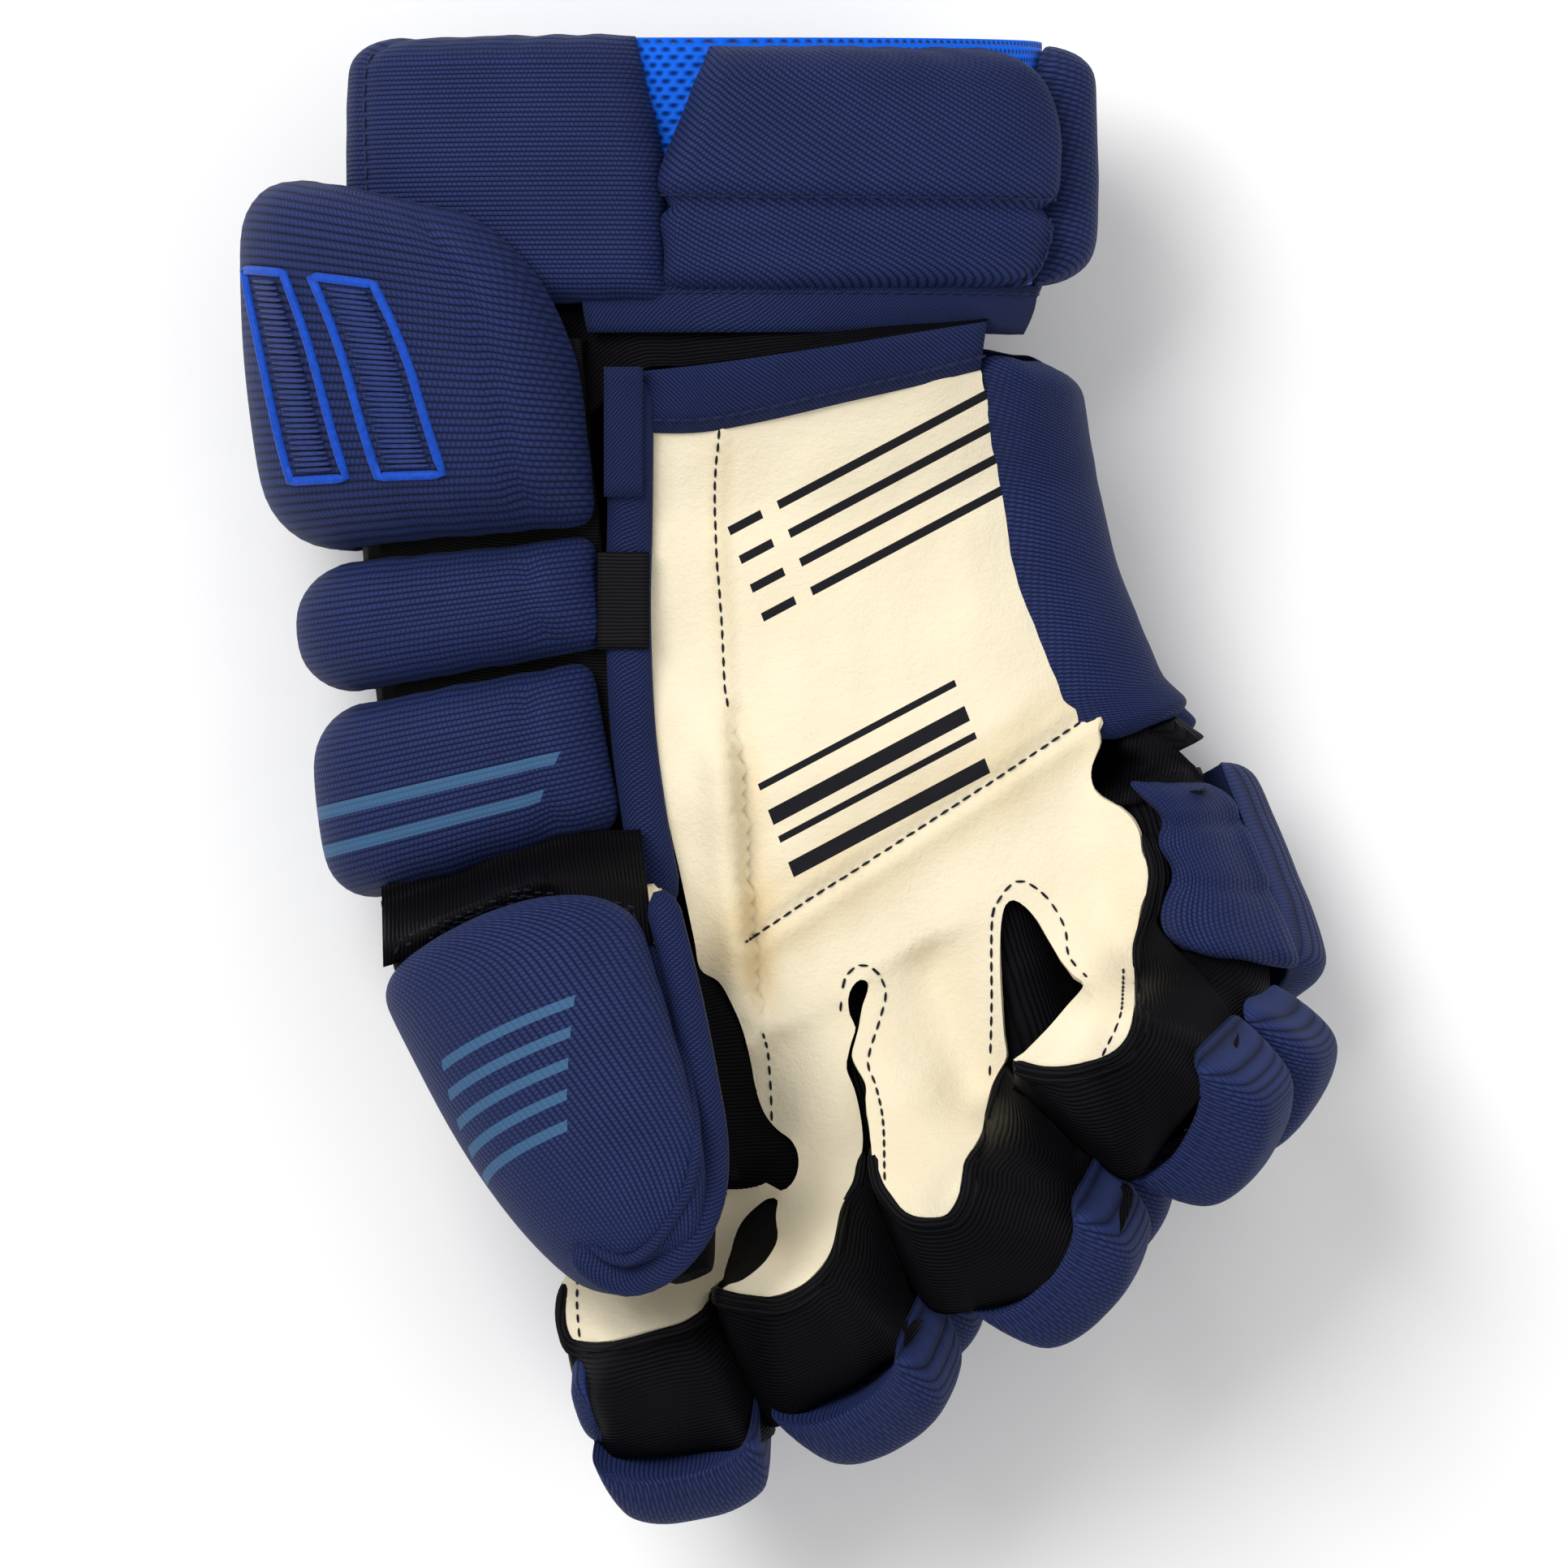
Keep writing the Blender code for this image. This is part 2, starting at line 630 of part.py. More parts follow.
def build_hand_liner(hand, fingers):
    """Soft lining of the back, run on to the finger stalls and drawn back between the fingers."""
    edge = ((220, 8.0), (238, 0.6), (254, 0.6), (270, 0.6), (286, 0.6), (302, 0.6), (320, 8.0))
    mouths = [(form, angle, STALL_START - short) for form in fingers for angle, short in edge][1:-1]
    thumb_side = [(angle, None) for angle in np.linspace(104, 222, 14)]
    back = list(zip(np.linspace(228, 332, len(mouths)), mouths))
    columns = [*thumb_side, *back, (337.5, None), (343.0, None)]
    first, last = KNUCKLE_ROLL_LINE + 3.0, WRIST_LINE - 16.0

    def liner(column, other, height):
        angle, mouth = column
        if other >= 0:
            return hand.point(angle, first + (last - first) * other, height - LINER_GAP)
        start = hand.point(angle, first, height - LINER_GAP)
        if mouth is None:
            end = hand.point(angle, KNUCKLE_ROLL_LINE + 1.0, height - LINER_GAP)
        else:
            end = mouth[0].point(mouth[1], mouth[2], height)
        return start * (1 + other) - end * other

    rows = [-1.0, -0.66, -0.33, *even(6)]
    return sheet("hand_liner", liner, columns, rows, -LINER_THICKNESS, 0.0, BLACK)


def build_finger(name, form):
    bend = form.straight + form.arc * (0.5 - PAD_BEND_GAP / 2)
    past_bend = form.straight + form.arc * (0.5 + PAD_BEND_GAP / 2)
    tip_start = form.straight + form.arc * 0.9 + (form.length - form.straight - form.arc) * 0.3
    base = [pad_on(f"{name}_base_pad", form, PAD_JOINT_LAP, bend, FINGER_PAD_THICKNESS)]
    thickness = FINGER_TIP_PAD_THICKNESS
    tip = [
        pad_on(f"{name}_middle_pad", form, past_bend, tip_start - 0.3, thickness),
        pad_on(f"{name}_tip_pad", form, tip_start + 0.3, form.length + 2.4, thickness),
    ]
    soft = [stall(f"{name}_sleeve", form, STALL_START, BLACK)]

    def plate(share, other, height):
        return form.point(235 + 70 * share, 8.0 + (form.straight - 12.0) * other, height)

    base.append(
        sheet(f"{name}_plate", plate, even(6), even(2), CLEARANCE, CLEARANCE + PLATE_THICKNESS, PLASTIC)
    )
    lines = [4.0, *stall_lines(form, STALL_START, form.length)[1:-3]]

    def strip(share, other, height):
        return form.point(36 + 108 * share, other, height)

    soft.append(
        sheet(f"{name}_palm_strip", strip, even(6), lines, CLEARANCE, CLEARANCE + SUEDE_THICKNESS, CREAM)
    )
    return base, tip, soft


def pad_on(name, form, first, last, thickness):
    angles = np.linspace(203, 337, 65)
    spots = [form.pad_point(a, first, 0.0) for a in angles]
    steps = [np.linalg.norm(b - a) for a, b in zip(spots, spots[1:])]
    round_travel = np.concatenate(([0.0], np.cumsum(steps)))
    lines = np.linspace(first, last, 65)
    spots = [form.pad_point(270, line, 0.0) for line in lines]
    steps = [np.linalg.norm(b - a) for a, b in zip(spots, spots[1:])]
    travel = np.concatenate(([0.0], np.cumsum(steps)))

    def place(along, across, height):
        angle = np.interp(along, round_travel, angles)
        return form.pad_point(angle, np.interp(across, travel, lines), height)

    return pad(name, place, round_travel[-1], travel[-1], thickness, NAVY, (4, 4, 4, 4), 6.0, 5.2, 0.12,
               row_step=9.0)


def main():
    for thing in list(bpy.data.objects):
        bpy.data.objects.remove(thing)
    hand, hand_things = build_hand()
    cuff, cuff_things = build_cuff()
    thumb, thumb_things = build_thumb()
    build_flex_band(hand, thumb)
    build_wrist_gusset(hand, cuff)
    fingers = {name: FingerForm(*sizes) for name, sizes in FINGERS.items()}
    build_hand_liner(hand, list(fingers.values()))
    for name, form in fingers.items():
        base, tip, soft = build_finger(name, form)
        hang(add_hinge(f"{name}_knuckle", form.knuckle), *base)
        hang(add_hinge(f"{name}_middle", form.middle), *tip)
    hang(add_hinge("cuff_hinge", cuff.point(0, CUFF_START + 3, 0) * (0, 1, 1)), *cuff_things)
    hang(add_hinge("thumb_hinge", THUMB_ROOT), *thumb_things)


main()
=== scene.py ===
import math
from functools import partial

import bpy
import numpy as np
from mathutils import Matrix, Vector
from mathutils.bvhtree import BVHTree
from mathutils.geometry import delaunay_2d_cdt
from mathutils.noise import noise


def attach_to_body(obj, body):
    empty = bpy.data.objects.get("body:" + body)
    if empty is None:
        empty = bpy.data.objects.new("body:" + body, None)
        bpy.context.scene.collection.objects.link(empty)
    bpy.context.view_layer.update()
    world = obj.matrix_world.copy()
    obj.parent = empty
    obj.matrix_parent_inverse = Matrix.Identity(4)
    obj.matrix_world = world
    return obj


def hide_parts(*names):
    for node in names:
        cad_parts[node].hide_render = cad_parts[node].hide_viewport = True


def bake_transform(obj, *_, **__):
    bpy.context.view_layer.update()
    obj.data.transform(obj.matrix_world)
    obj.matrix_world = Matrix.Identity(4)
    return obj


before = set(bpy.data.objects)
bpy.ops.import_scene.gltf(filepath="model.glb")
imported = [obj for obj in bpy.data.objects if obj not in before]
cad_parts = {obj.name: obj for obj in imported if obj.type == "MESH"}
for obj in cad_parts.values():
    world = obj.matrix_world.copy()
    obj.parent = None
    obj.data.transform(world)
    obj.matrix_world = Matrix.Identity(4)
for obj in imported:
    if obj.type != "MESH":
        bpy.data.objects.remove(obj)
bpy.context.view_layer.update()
mm = 0.001  # every length below is in millimetres
down = Vector((0, 0, -1))

# the view: straight down on the palm, cuff up
viewSet = {"height": 2400.0, "focus": 55.0, "pixel": 0.175, "middle": 966.0, "image": 1932, "sensor": 36.0}


def fromPhoto(u, v, z):
    scale = viewSet["pixel"] * (viewSet["height"] - z) / (viewSet["height"] - viewSet["focus"])
    return np.array(((u - viewSet["middle"]) * scale, (viewSet["middle"] - v) * scale, z))


def newObject(name, data):
    holder = bpy.data.objects.new(name, data)
    bpy.context.scene.collection.objects.link(holder)
    return holder


def addView():
    camera = bpy.data.cameras.new("camera")
    camera.sensor_width = viewSet["sensor"]
    across = viewSet["image"] * viewSet["pixel"]
    camera.lens = camera.sensor_width * (viewSet["height"] - viewSet["focus"]) / across
    holder = newObject("camera", camera)
    holder.location = (0.0, 0.0, viewSet["height"] * mm)
    bpy.context.scene.camera = holder
    bpy.context.scene.view_settings.view_transform = "Standard"


# inner forms, the same sizes as the frame's
fit = {"padStart": 2.7, "tipPadStart": 0.7, "backHeight": 16.7, "suede": 1.4}
handSet = {
    "lines": (-39.0, -0.5, 34.5, 58.5, 106.0),  # knuckles, knuckle roll, thumb base, middle, wrist
    "slopes": (0.526, 0.29, 0.17, 0.10, -0.24),
    "centres": (20.0, -4.0, -12.0, -15.5, -21.0),
    "widths": (0.93, 1.04, 1.01, 1.0, 1.02),
    "depths": (0.74, 0.92, 0.98, 1.05, 1.55),
    "width": 152.0, "depth": 44.0, "power": 2.5,
}
cuffSet = {"start": 99.0, "length": 61.5, "pad": 11.0, "width": 163.0, "depth": 62.0, "power": 2.7,
           "swing": 4.5, "centre": -13.5, "narrow": 0.06, "narrowReach": 16.0}
fingerSet = {
    "width": 38.5, "gap": 1.4, "depth": 29.0, "power": 2.5, "pad": 13.5, "tipPad": 16.0, "bend": 17.0,
    "tipRound": 9.0, "lap": 3.0, "bendGap": 0.22, "tipNarrow": 0.99, "firstX": -31.0, "height": 32.0,
    "start": 3.0, "padOver": 0.4,
    "each": {  # place, lift, way to the tip, base and tip length, where the back faces, twist
        "index": (0, 0.0, (4.6, -79.5, 42.5), 55.0, 49.0, (0.20, -0.50, -0.84), 6.0),
        "middle": (1, 0.0, (1.4, -84.3, 47.5), 61.0, 53.0, (0.46, -0.44, -0.78), 16.0),
        "ring": (2, 1.5, (4.8, -77.2, 50.0), 60.0, 53.0, (0.46, -0.46, -0.74), 28.0),
        "little": (3, 5.0, (-1.2, -66.4, 43.6), 52.5, 46.2, (0.67, -0.41, -0.61), 30.0),
    },
}
thumbSet = {"root": (-55.0, -24.0, 60.0), "length": 92.0, "heading": (0.30, -0.90, 0.27), "rootWidth": 54.0,
            "tipWidth": 40.0, "cap": 10.0, "flatness": 0.8, "facing": (-0.35, 0.0, 1.0), "power": 2.3,
            "tipRound": 12.0}
capSet = {"tips": (20.0, 15.0), "past": 2.0, "tipRound": 62.0, "power": 2.2, "shift": 0.4}


def unit(vector):
    vector = np.asarray(vector, float)
    return vector / np.linalg.norm(vector)


def rounded(angle, halfWidth, halfHeight, power):
    across, up = math.cos(math.radians(angle)), math.sin(math.radians(angle))
    return (halfWidth * math.copysign(abs(across) ** (2 / power), across),
            halfHeight * math.copysign(abs(up) ** (2 / power), up))


def tipTaper(left, reach, power=2.6, least=0.12):
    near = max(0.0, 1 - max(left, 0.0) / reach)
    return max(least, (1 - near ** power) ** (1 / power)) if near < 1 else least


class HandForm:
    def point(self, angle, line, height):
        lines = handSet["lines"]
        depth = np.interp(line, lines, handSet["depths"]) * handSet["depth"] / 2
        width = np.interp(line, lines, handSet["widths"]) * handSet["width"] / 2
        x, z = rounded(angle, width + height, depth + height, handSet["power"])
        x += np.interp(line, lines, handSet["centres"])
        y = line + np.interp(line, lines, handSet["slopes"]) * x
        return np.array((x, y, z + fit["backHeight"] + depth))


class CuffForm:
    def point(self, angle, line, height):
        narrow = 1 - cuffSet["narrow"] * max(0.0, 1 - (line - cuffSet["start"]) / cuffSet["narrowReach"])
        inset = cuffSet["pad"] + fit["padStart"]
        x, z = rounded(angle, cuffSet["width"] / 2 * narrow - inset + height,
                       cuffSet["depth"] / 2 - inset + height, cuffSet["power"])
        bottom = fit["backHeight"] + cuffSet["swing"]
        return np.array((x + cuffSet["centre"], line, z + bottom + cuffSet["depth"] / 2))


class FingerForm:
    def __init__(self, place, lift, reach, baseLength, tipLength, back, twist):
        slope, lines = handSet["slopes"][0], handSet["lines"]
        first = fingerSet["firstX"]
        start = np.array((first, lines[0] + slope * first, fingerSet["height"] + lift))
        self.knuckle = start + unit((1.0, slope, 0.0)) * place * (fingerSet["width"] + fingerSet["gap"])
        self.tip = self.knuckle + np.array(reach)
        distance, forward = np.linalg.norm(reach), unit(reach)
        outward = unit(np.array(back) - np.dot(back, forward) * forward)
        ahead = (baseLength ** 2 - tipLength ** 2 + distance ** 2) / (2 * distance)
        self.middle = self.knuckle + ahead * forward + math.sqrt(baseLength ** 2 - ahead ** 2) * outward
        self.baseAxis, self.tipAxis = unit(self.middle - self.knuckle), unit(self.tip - self.middle)
        self.side = unit(np.cross(forward, outward))
        self.baseBack = unit(np.cross(self.side, self.baseAxis))
        self.twist = math.radians(twist)
        self.bend = math.acos(np.clip(np.dot(self.baseAxis, self.tipAxis), -1, 1))
        self.radius = fingerSet["bend"] / math.tan(self.bend / 2)
        self.straight = baseLength - fingerSet["bend"]
        self.arc = self.radius * self.bend
        self.length = self.straight + self.arc + tipLength - fingerSet["bend"]
        self.halfWidth, self.halfDepth = fingerSet["width"] / 2 - fit["padStart"], fingerSet["depth"] / 2

    def bent(self, along):
        return min(1.0, max(0.0, (along - self.straight) / self.arc))

    def frame(self, along):
        turn = self.bend * self.bent(along)
        centre = self.knuckle + self.baseAxis * min(along, self.straight)
        centre = centre - self.baseBack * self.radius * (1 - math.cos(turn))
        centre = centre + self.baseAxis * self.radius * math.sin(turn)
        centre = centre + self.tipAxis * max(0.0, along - self.straight - self.arc)
        back = self.baseBack * math.cos(turn) + self.baseAxis * math.sin(turn)
        twist = self.twist * self.bent(along)
        return (centre, self.side * math.cos(twist) - back * math.sin(twist),
                back * math.cos(twist) + self.side * math.sin(twist))

    def point(self, angle, along, height):
        centre, side, back = self.frame(along)
        taper = tipTaper(self.length - along, fingerSet["tipRound"])
        x, z = rounded(angle, self.halfWidth * taper + height, self.halfDepth * taper + height,
                       fingerSet["power"])
        return centre + side * x - back * z

    def padPoint(self, angle, along, height):
        centre, side, back = self.frame(along)
        bent = self.bent(along)
        halfWidth = (fingerSet["width"] / 2 + fingerSet["padOver"]) * (1 + (fingerSet["tipNarrow"] - 1) * bent)
        base = fit["padStart"] + (fit["tipPadStart"] - fit["padStart"]) * bent
        x, z = rounded(angle, halfWidth, self.halfDepth + base, fingerSet["power"])
        return centre + side * x + back * (height - z)


class ThumbForm:
    axis = unit(thumbSet["heading"])
    side = unit(np.cross(axis, thumbSet["facing"]) * -1)
    up = unit(np.cross(side, axis) * -1)
    length = thumbSet["length"]

    def half(self, along, tip):
        return np.interp(along, (0.0, self.length), (thumbSet["rootWidth"] / 2, tip))

    def spot(self, along, x, z):
        return np.array(thumbSet["root"]) + self.axis * along + self.side * x + self.up * z

    def point(self, angle, along, height):
        half = self.half(along, thumbSet["tipWidth"] / 2) * tipTaper(self.length - along, thumbSet["tipRound"])
        x, z = rounded(angle, half + height, half * thumbSet["flatness"] + height, thumbSet["power"])
        return self.spot(along, x, z)


class CapForm(ThumbForm):  # the cap draws in sooner towards its tip
    def point(self, angle, along, height):
        full, half = (self.half(along, tip) for tip in capSet["tips"])
        taper = tipTaper(self.length + capSet["past"] - along, capSet["tipRound"])
        x, z = rounded(angle, half * taper + height, half * taper * thumbSet["flatness"] + height,
                       capSet["power"])
        return self.spot(along, x + ((full - half) + capSet["shift"] * half * (1 - taper)), z)


hand, cuff, thumb, cap = HandForm(), CuffForm(), ThumbForm(), CapForm()
fingers = {name: FingerForm(*sizes) for name, sizes in fingerSet["each"].items()}

# how pieces ride: a body, or two bodies and a reach between them, for which the piece is only baked in place;
# addPalm and addWeb add more
bendReach = 13
bendings = {"thumbWeb": ("hand", "thumb", hand.point(150, 4, 0), np.array(thumbSet["root"]) + thumb.axis * 8),
            "wrist": ("hand", "cuff", (0.0, 90.0, 60.0), (0.0, 101.0, 60.0))}
for name, form in fingers.items():
    bendings[name + "Middle"] = (name + "_base", name + "_tip", form.middle - form.baseAxis * bendReach,
                                 form.middle + form.tipAxis * bendReach)


def attach(piece, way):
    if way in bendings:
        first, second, start, end = bendings[way]
        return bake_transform(piece, first, second, tuple(np.asarray(start) * mm), tuple(np.asarray(end) * mm))
    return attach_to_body(piece, way)


# shared shader groups
def wire(tree, node, values):  # an output is linked, anything else is set
    for label, value in values.items():
        if isinstance(value, bpy.types.NodeSocket):
            tree.links.new(value, node.inputs[label])
        else:
            node.inputs[label].default_value = value


def mathNode(tree, operation, *values):
    node = tree.nodes.new("ShaderNodeMath")
    node.operation = operation
    wire(tree, node, dict(enumerate(values)))
    return node.outputs[0]


def newGroup(name, inputs, outputs):
    group = bpy.data.node_groups.new(name, "ShaderNodeTree")
    for way, labels in (("INPUT", inputs), ("OUTPUT", outputs)):
        for label in labels:
            kind = "NodeSocketVector" if label == "Flat" else "NodeSocketFloat"
            group.interface.new_socket(name=label, in_out=way, socket_type=kind)
    entry, leave = group.nodes.new("NodeGroupInput"), group.nodes.new("NodeGroupOutput")
    split = group.nodes.new("ShaderNodeSeparateXYZ")
    group.links.new(entry.outputs["Flat"], split.inputs[0])
    return group, entry.outputs, leave.inputs, split.outputs, partial(mathNode, group)


def wavy(calc, place, pitch):  # 0 in the grooves, 1 on the ribs
    return calc("ABSOLUTE", calc("SINE", calc("MULTIPLY", calc("DIVIDE", place, pitch), math.pi)))


def shiftedRows(calc, xyz, pitch, step):  # every row stands half a step further on
    row = calc("FLOOR", calc("DIVIDE", xyz[1], pitch))
    return calc("ADD", xyz[0], calc("MULTIPLY", calc("MULTIPLY", row, step), 0.5))


def wovenGroup():
    group, given, result, xyz, calc = newGroup("wovenRibs", ("Flat", "Pitch", "Yarn"), ("Height", "Shade"))
    ribs = calc("POWER", wavy(calc, xyz[1], given["Pitch"]), 0.6)
    shifted = shiftedRows(calc, xyz, given["Pitch"], given["Yarn"])
    yarns = calc("POWER", wavy(calc, shifted, given["Yarn"]), 0.5)
    height = calc("MULTIPLY", ribs, calc("ADD", calc("MULTIPLY", yarns, 0.55), 0.45))
    group.links.new(height, result["Height"])
    # Shade: painted shade in the grooves and the lit colour on the rib tops, following the ribs' height
    group.links.new(calc("POWER", height, 1.4), result["Shade"])
    return group


def ribGroup():
    group, given, result, xyz, calc = newGroup("stretchRibs", ("Flat", "Pitch", "Waver"), ("Height",))
    drift = group.nodes.new("ShaderNodeTexNoise")
    wire(group, drift, {"Scale": 0.06, "Detail": 1.0, "Vector": given["Flat"]})
    moved = calc("ADD", xyz[1], calc("MULTIPLY", drift.outputs[0], given["Waver"]))
    ribs = calc("POWER", wavy(calc, moved, given["Pitch"]), 0.7)
    twist = calc("ADD", calc("MULTIPLY", wavy(calc, xyz[0], 0.55), 0.2), 0.8)
    group.links.new(calc("MULTIPLY", ribs, twist), result["Height"])
    return group


def meshGroup():
    group, given, result, xyz, calc = newGroup("knitMesh", ("Flat", "Pitch"), ("Height",))
    shifted = shiftedRows(calc, xyz, given["Pitch"], given["Pitch"])
    dots = calc("MULTIPLY", wavy(calc, xyz[1], given["Pitch"]), wavy(calc, shifted, given["Pitch"]))
    group.links.new(calc("SUBTRACT", 1.0, calc("POWER", dots, 2.5)), result["Height"])
    return group


barLabels = ("From", "To", "First", "Pitch", "Width", "Count", "Slant")


def barGroup():
    group, given, result, xyz, calc = newGroup("printedBars", ("Flat", *barLabels), ("Mask",))
    along = calc("ADD", xyz[0], calc("MULTIPLY", xyz[1], given["Slant"]))
    across = calc("SUBTRACT", xyz[1], given["First"])
    inside = calc("MULTIPLY", calc("GREATER_THAN", along, given["From"]), calc("LESS_THAN", along, given["To"]))
    reach = calc("MULTIPLY", given["Pitch"], given["Count"])
    counted = calc("MULTIPLY", calc("GREATER_THAN", across, 0.0), calc("LESS_THAN", across, reach))
    barred = calc("LESS_THAN", calc("MODULO", across, given["Pitch"]), given["Width"])
    group.links.new(calc("MULTIPLY", calc("MULTIPLY", inside, counted), barred), result["Mask"])
    return group


groups = {"woven": wovenGroup(), "rib": ribGroup(), "mesh": meshGroup(), "bar": barGroup()}


# materials
def startMaterial(name, roughness, sheen, sheenTint=(1.0, 1.0, 1.0), gloss=0.12):
    material = bpy.data.materials.new(name)
    material.use_nodes = True
    tree = material.node_tree
    shader = tree.nodes["Principled BSDF"]
    wire(tree, shader, {"Roughness": roughness, "Specular IOR Level": gloss, "Sheen Weight": sheen,
                        "Sheen Roughness": 0.45, "Sheen Tint": (*sheenTint, 1.0)})
    flat = tree.nodes.new("ShaderNodeAttribute")
    flat.attribute_name = "flat"
    return material, tree, shader, flat.outputs["Vector"], partial(mathNode, tree)


def placeGroup(tree, kind, **values):
    node = tree.nodes.new("ShaderNodeGroup")
    node.node_tree = groups[kind]
    wire(tree, node, values)
    return node.outputs


def mixColours(tree, share, first, second):
    node = tree.nodes.new("ShaderNodeMix")
    node.data_type = "RGBA"
    first, second = ((*value, 1.0) if isinstance(value, tuple) else value for value in (first, second))
    wire(tree, node, {"Factor": share, 6: first, 7: second})
    return node.outputs[2]


def scaled(colour, share):
    return tuple(min(1.0, c * share) for c in colour)


def softNoise(tree, scale, detail=3.0):
    where, node = tree.nodes.new("ShaderNodeTexCoord"), tree.nodes.new("ShaderNodeTexNoise")
    wire(tree, node, {"Scale": scale, "Detail": detail, "Vector": where.outputs["Object"]})
    return node.outputs[0]


def addBump(tree, shader, height, distance, strength=1.0):
    bump = tree.nodes.new("ShaderNodeBump")
    wire(tree, bump, {"Distance": distance * mm, "Strength": strength, "Height": height})
    wire(tree, shader, {"Normal": bump.outputs[0]})


def turned(tree, flat, degrees):
    node = tree.nodes.new("ShaderNodeMapping")
    wire(tree, node, {"Rotation": (0.0, 0.0, math.radians(degrees)), "Vector": flat})
    return node.outputs[0]


# dark and light are shaded and lit copies of the navy yarn: painted shade in the weave's grooves and the lit
# colour on its rib tops
wovenLooks = {"dark": (0.0020, 0.0034, 0.018), "light": (0.019, 0.033, 0.128), "pitch": 1.05, "yarn": 0.95,
              "print": (0.045, 0.115, 0.230)}


def wovenCloth(name, turn=0.0, pitch=wovenLooks["pitch"], yarn=wovenLooks["yarn"], bars=None, lift=1.0):
    material, tree, shader, flat, calc = startMaterial(name, 0.62, 0.04, (0.45, 0.55, 1.0))
    weave = placeGroup(tree, "woven", Flat=turned(tree, flat, turn), Pitch=pitch, Yarn=yarn)
    worn = calc("ADD", calc("MULTIPLY", softNoise(tree, 60.0), 0.5), 0.72)
    # the weave's Shade paints shade in the grooves, and the noise adds random tone
    colour = mixColours(tree, calc("MULTIPLY", weave["Shade"], worn), wovenLooks["dark"],
                        scaled(wovenLooks["light"], lift))
    height = weave["Height"]
    if bars:
        mask = placeGroup(tree, "bar", Flat=flat, **bars)["Mask"]
        # the ink is painted darker in the grooves too: painted shade
        ink = mixColours(tree, height, scaled(wovenLooks["print"], 0.75), wovenLooks["print"])
        colour = mixColours(tree, mask, colour, ink)
        height = calc("MULTIPLY", height, calc("SUBTRACT", 1.0, calc("MULTIPLY", mask, 0.6)))
    wire(tree, shader, {"Base Color": colour})
    addBump(tree, shader, height, 0.35, 0.8)
    return material


def stretchCloth(name, pitch=0.9, colour=(0.0034, 0.0034, 0.0044), gloss=0.03):
    material, tree, shader, flat, calc = startMaterial(name, 0.42, 0.0, gloss=gloss)
    ribs = placeGroup(tree, "rib", Flat=flat, Pitch=pitch, Waver=1.5)["Height"]
    # painted shade and highlight: the ribs' grooves take 0.35 of the colour and their tops 1.7 times it
    wire(tree, shader, {"Base Color": mixColours(tree, ribs, scaled(colour, 0.35), scaled(colour, 1.7)),
                        "Roughness": calc("ADD", calc("MULTIPLY", softNoise(tree, 90.0), 0.25), 0.32)})
    addBump(tree, shader, ribs, 0.28, 0.8)
    return material


# light is the suede's own colour; the second colour paints shade in the folds and random mottle
suedeLooks = {"light": (0.87, 0.78, 0.58), "foldShadeAndMottle": (0.70, 0.54, 0.29), "print": (0.012, 0.012, 0.016),
              "turn": 28.0}


def suedeCloth(name, allBars=()):
    material, tree, shader, flat, calc = startMaterial(name, 0.92, 0.06, (1.0, 0.92, 0.7))
    # painted shade: the "fold" attribute deepens and yellows the suede in its folds and along its seams, and the
    # mottle adds random tone
    fold = tree.nodes.new("ShaderNodeAttribute")
    fold.attribute_name = "fold"
    mottle = calc("MULTIPLY", calc("SUBTRACT", softNoise(tree, 45.0, 6.0), 0.45), 0.5)
    foldShadeAndMottle = calc("ADD", fold.outputs["Fac"], mottle)
    foldShadeAndMottle.node.use_clamp = True
    colour = mixColours(tree, foldShadeAndMottle, suedeLooks["light"], suedeLooks["foldShadeAndMottle"])
    for bars in allBars:
        mask = placeGroup(tree, "bar", Flat=turned(tree, flat, suedeLooks["turn"]), **bars)["Mask"]
        colour = mixColours(tree, mask, colour, suedeLooks["print"])
    wire(tree, shader, {"Base Color": colour})
    nap = calc("ADD", softNoise(tree, 1500.0, 4.0), calc("MULTIPLY", softNoise(tree, 420.0, 5.0), 1.5))
    addBump(tree, shader, nap, 0.22, 0.7)
    return material


def meshCloth():
    material, tree, shader, flat, _ = startMaterial("blueMesh", 0.5, 0.2, (0.6, 0.8, 1.0))
    knit = placeGroup(tree, "mesh", Flat=flat, Pitch=2.0)["Height"]
    wire(tree, shader, {"Base Color": mixColours(tree, knit, (0.0, 0.012, 0.10), (0.0, 0.12, 0.78))})
    addBump(tree, shader, knit, 0.5)
    return material


def threadMaterial(name, colour):
    material, tree, shader, *_ = startMaterial(name, 0.55, 0.1)
    shade = mixColours(tree, softNoise(tree, 900.0), scaled(colour, 0.6), scaled(colour, 1.5))
    wire(tree, shader, {"Base Color": shade})
    return material


def plateMaterial():
    material, tree, shader, *_ = startMaterial("plateMoulded", 0.4, 0.0)
    grain = softNoise(tree, 300.0)
    wire(tree, shader, {"Base Color": mixColours(tree, grain, (0.52, 0.52, 0.50), (0.66, 0.66, 0.63))})
    addBump(tree, shader, grain, 0.05)
    return material


def bars(*sizes):
    return dict(zip(barLabels, sizes))


